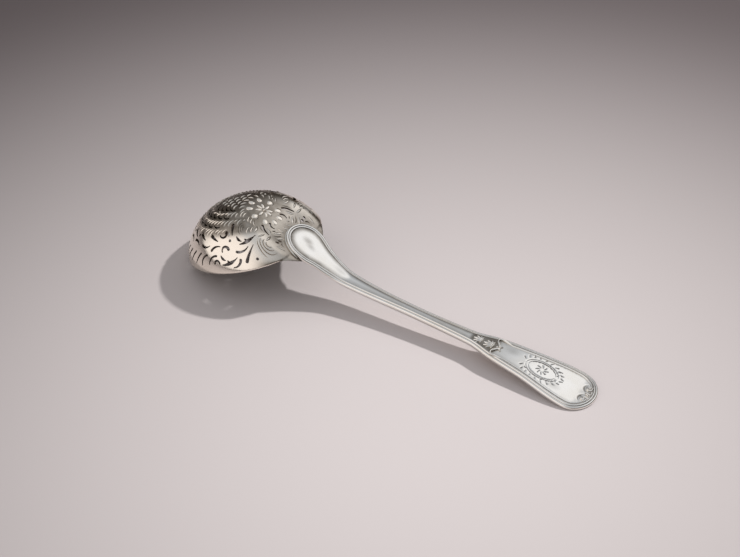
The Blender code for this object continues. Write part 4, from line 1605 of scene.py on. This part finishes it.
def make_seam(bowl, handle, finish):
    """The solder bead in the corner between the tongue's edge and the bowl's back."""
    dome = Dome(bowl)
    points, normals, _ = Bar(dome, handle).outline()
    half = []
    for x, y in points + normals * SEAM_RADIUS:
        if dome.top(x + SEAM_TO_RIM, y) is None:
            break
        here = dome.top(x, y)
        slope_x = (dome.top(x + SEAM_PROBE, y) - here) / SEAM_PROBE
        slope_y = (dome.top(x, y + SEAM_PROBE) - here) / SEAM_PROBE
        lift = SEAM_RADIUS * SEAM_SINK * math.sqrt(1.0 + slope_x ** 2 + slope_y ** 2)
        half.append((x, y, here + lift))
    half = np.array(half)
    path = np.vstack([half[:0:-1] * (1.0, -1.0, 1.0), half])
    order = np.arange(len(path))
    waver = 1.0 + SEAM_WAVER * np.sin(order * SEAM_WAVES[0]) * np.sin(order * SEAM_WAVES[1])
    taper = np.minimum(1.0, (np.minimum(order, order[::-1]) + 1) / SEAM_TAPER)
    piece = make_wires("solder_bead", [(path, SEAM_RADIUS * waver * taper)], solder_silver(finish))
    settle(piece, "hard_solder", "heel_solder_seam")


# Stage

def facing(direction):
    return Vector(direction).to_track_quat("-Z", "Y").to_euler()


def from_angles(azimuth, elevation):
    """Direction of a place seen from the spoon; azimuth 0 is in front of it."""
    flat = math.cos(elevation)
    return Vector((math.sin(azimuth) * flat, -math.cos(azimuth) * flat, math.sin(elevation)))


def make_camera(scene, stage):
    camera = bpy.data.objects.new("camera", bpy.data.cameras.new("camera"))
    scene.collection.objects.link(camera)
    back = from_angles(stage.azimuth, stage.elevation)
    camera.location = Vector(CAMERA_TARGET) + back * stage.distance
    camera.rotation_euler = facing(-back)
    camera.data.lens = stage.lens
    scene.camera = camera


def make_key(scene, stage):
    """The small softbox behind the spoon, whose cloth the world shows to the metal."""
    light = bpy.data.lights.new("key_softbox", "AREA")
    light.energy = stage.key
    light.shape = "SQUARE"
    light.size = KEY_SIZE
    lamp = bpy.data.objects.new("key_softbox", light)
    scene.collection.objects.link(lamp)
    toward = Vector(KEY_TOWARD).normalized()
    lamp.location = toward * KEY_DISTANCE
    lamp.rotation_euler = facing(-toward)
    lamp.visible_glossy = False


def make_world(scene, stage):
    """A dark studio: grey overhead, a white card low in front and to the left, and the softbox's cloth."""
    world = bpy.data.worlds.new("studio")
    world.use_nodes = True
    scene.world = world
    tree = world.node_tree
    add = partial(add_node, tree)
    way = add("ShaderNodeTexCoord").outputs["Generated"]
    colour = rgba(stage.dark)
    glows = ((OVERHEAD, OVERHEAD_GLOW, stage.overhead), (CARD, CARD_GLOW, stage.card),
             (KEY_TOWARD, SOFTBOX_GLOW, stage.softbox))
    for direction, limits, tone in glows:
        near = add("ShaderNodeVectorMath", {0: way, 1: Vector(direction).normalized()},
                   operation="DOT_PRODUCT")
        share = remap(add, near.outputs["Value"], limits, curve="SMOOTHERSTEP")
        colour = blend(add, share, colour, rgba(tone))
    set_inputs(tree, tree.nodes["Background"], {"Color": colour})


def make_table(stage):
    """A pale table with a painted pool of light: its colour darkens away from the pool's centre."""
    corners = [(x * TABLE_REACH, y * TABLE_REACH, 0.0) for x, y in ((-1, -1), (1, -1), (1, 1), (-1, 1))]
    table = new_piece("table", corners, [(0, 1, 2, 3)])
    material, add = new_material("table_paper")
    place = add("ShaderNodeTexCoord").outputs["Object"]
    away = add("ShaderNodeVectorMath", {0: place, 1: PAINTED_POOL_CENTRE}, operation="DISTANCE").outputs["Value"]
    painted_falloff = remap(add, away, (0.0, PAINTED_POOL_REACH), curve="SMOOTHSTEP")
    tone = blend(add, painted_falloff, rgba(stage.floor), rgba(stage.far))
    set_shader(material, {"Base Color": tone, "Roughness": TABLE_ROUGHNESS,
                          "Specular IOR Level": TABLE_SPECULAR})
    table.data.materials.append(material)


def make_stage(scene, stage):
    scene.view_settings.view_transform = "Standard"
    make_camera(scene, stage)
    make_table(stage)
    make_world(scene, stage)
    make_key(scene, stage)


# Operators

def run_makers(context, *makers):
    """Runs the makers of pieces with the scene's settings."""
    scene = context.scene
    for make in makers:
        make(scene.sifter_bowl, scene.sifter_handle, scene.sifter_finish)
    return {"FINISHED"}


class SIFTER_OT_bowl(bpy.types.Operator):
    """Make the pierced and engraved bowl"""

    bl_idname = "sifter.bowl"
    bl_label = "Engraved Bowl"

    def execute(self, context):
        return run_makers(context, make_bowl)


class SIFTER_OT_flower(bpy.types.Operator):
    """Make the chased flower on the bowl's heel"""

    bl_idname = "sifter.flower"
    bl_label = "Heel Flower"

    def execute(self, context):
        make_flower(context.scene.sifter_bowl, context.scene.sifter_finish)
        return {"FINISHED"}


class SIFTER_OT_handle(bpy.types.Operator):
    """Make the struck handle"""

    bl_idname = "sifter.handle"
    bl_label = "Struck Handle"

    def execute(self, context):
        return run_makers(context, make_handle)


class SIFTER_OT_ornaments(bpy.types.Operator):
    """Make the handle's scrolls, buds and palmette"""

    bl_idname = "sifter.ornaments"
    bl_label = "Handle Ornaments"

    def execute(self, context):
        return run_makers(context, make_scrolls, make_ornaments)


class SIFTER_OT_solder(bpy.types.Operator):
    """Make the solder bead round the tongue"""

    bl_idname = "sifter.solder"
    bl_label = "Solder Bead"

    def execute(self, context):
        return run_makers(context, make_seam)


class SIFTER_OT_stage(bpy.types.Operator):
    """Make the table, the lights and the camera"""

    bl_idname = "sifter.stage"
    bl_label = "Stage"

    def execute(self, context):
        make_stage(context.scene, context.scene.sifter_stage)
        return {"FINISHED"}


class SIFTER_PT_panel(bpy.types.Panel):
    """Settings and pieces of the spoon"""

    bl_idname = "SIFTER_PT_panel"
    bl_label = "Sugar Sifter Spoon"
    bl_space_type = "VIEW_3D"
    bl_region_type = "UI"
    bl_category = "Sifter"

    def draw(self, context):
        for name, (_, operators) in SETTINGS.items():
            settings = getattr(context.scene, name)
            box = self.layout.box()
            for key in settings.bl_rna.properties.keys():
                if key not in ("rna_type", "name"):
                    box.prop(settings, key)
            for operator in operators:
                box.operator(operator)


SETTINGS = {
    "sifter_bowl": (BowlSettings, ("sifter.bowl", "sifter.flower")),
    "sifter_handle": (HandleSettings, ("sifter.handle", "sifter.ornaments", "sifter.solder")),
    "sifter_finish": (FinishSettings, ()),
    "sifter_stage": (StageSettings, ("sifter.stage",)),
}
CLASSES = (BowlSettings, HandleSettings, FinishSettings, StageSettings, SIFTER_OT_bowl, SIFTER_OT_flower,
           SIFTER_OT_handle, SIFTER_OT_ornaments, SIFTER_OT_solder, SIFTER_OT_stage, SIFTER_PT_panel)


def register():
    for cls in CLASSES:
        bpy.utils.register_class(cls)
    for name, (group, _) in SETTINGS.items():
        setattr(bpy.types.Scene, name, PointerProperty(type=group))


def unregister():
    for name in SETTINGS:
        delattr(bpy.types.Scene, name)
    for cls in reversed(CLASSES):
        bpy.utils.unregister_class(cls)


def main():
    register()
    bpy.ops.sifter.stage()
    bpy.ops.sifter.bowl()
    bpy.ops.sifter.flower()
    bpy.ops.sifter.handle()
    bpy.ops.sifter.ornaments()
    bpy.ops.sifter.solder()


if __name__ == "__main__":
    main()
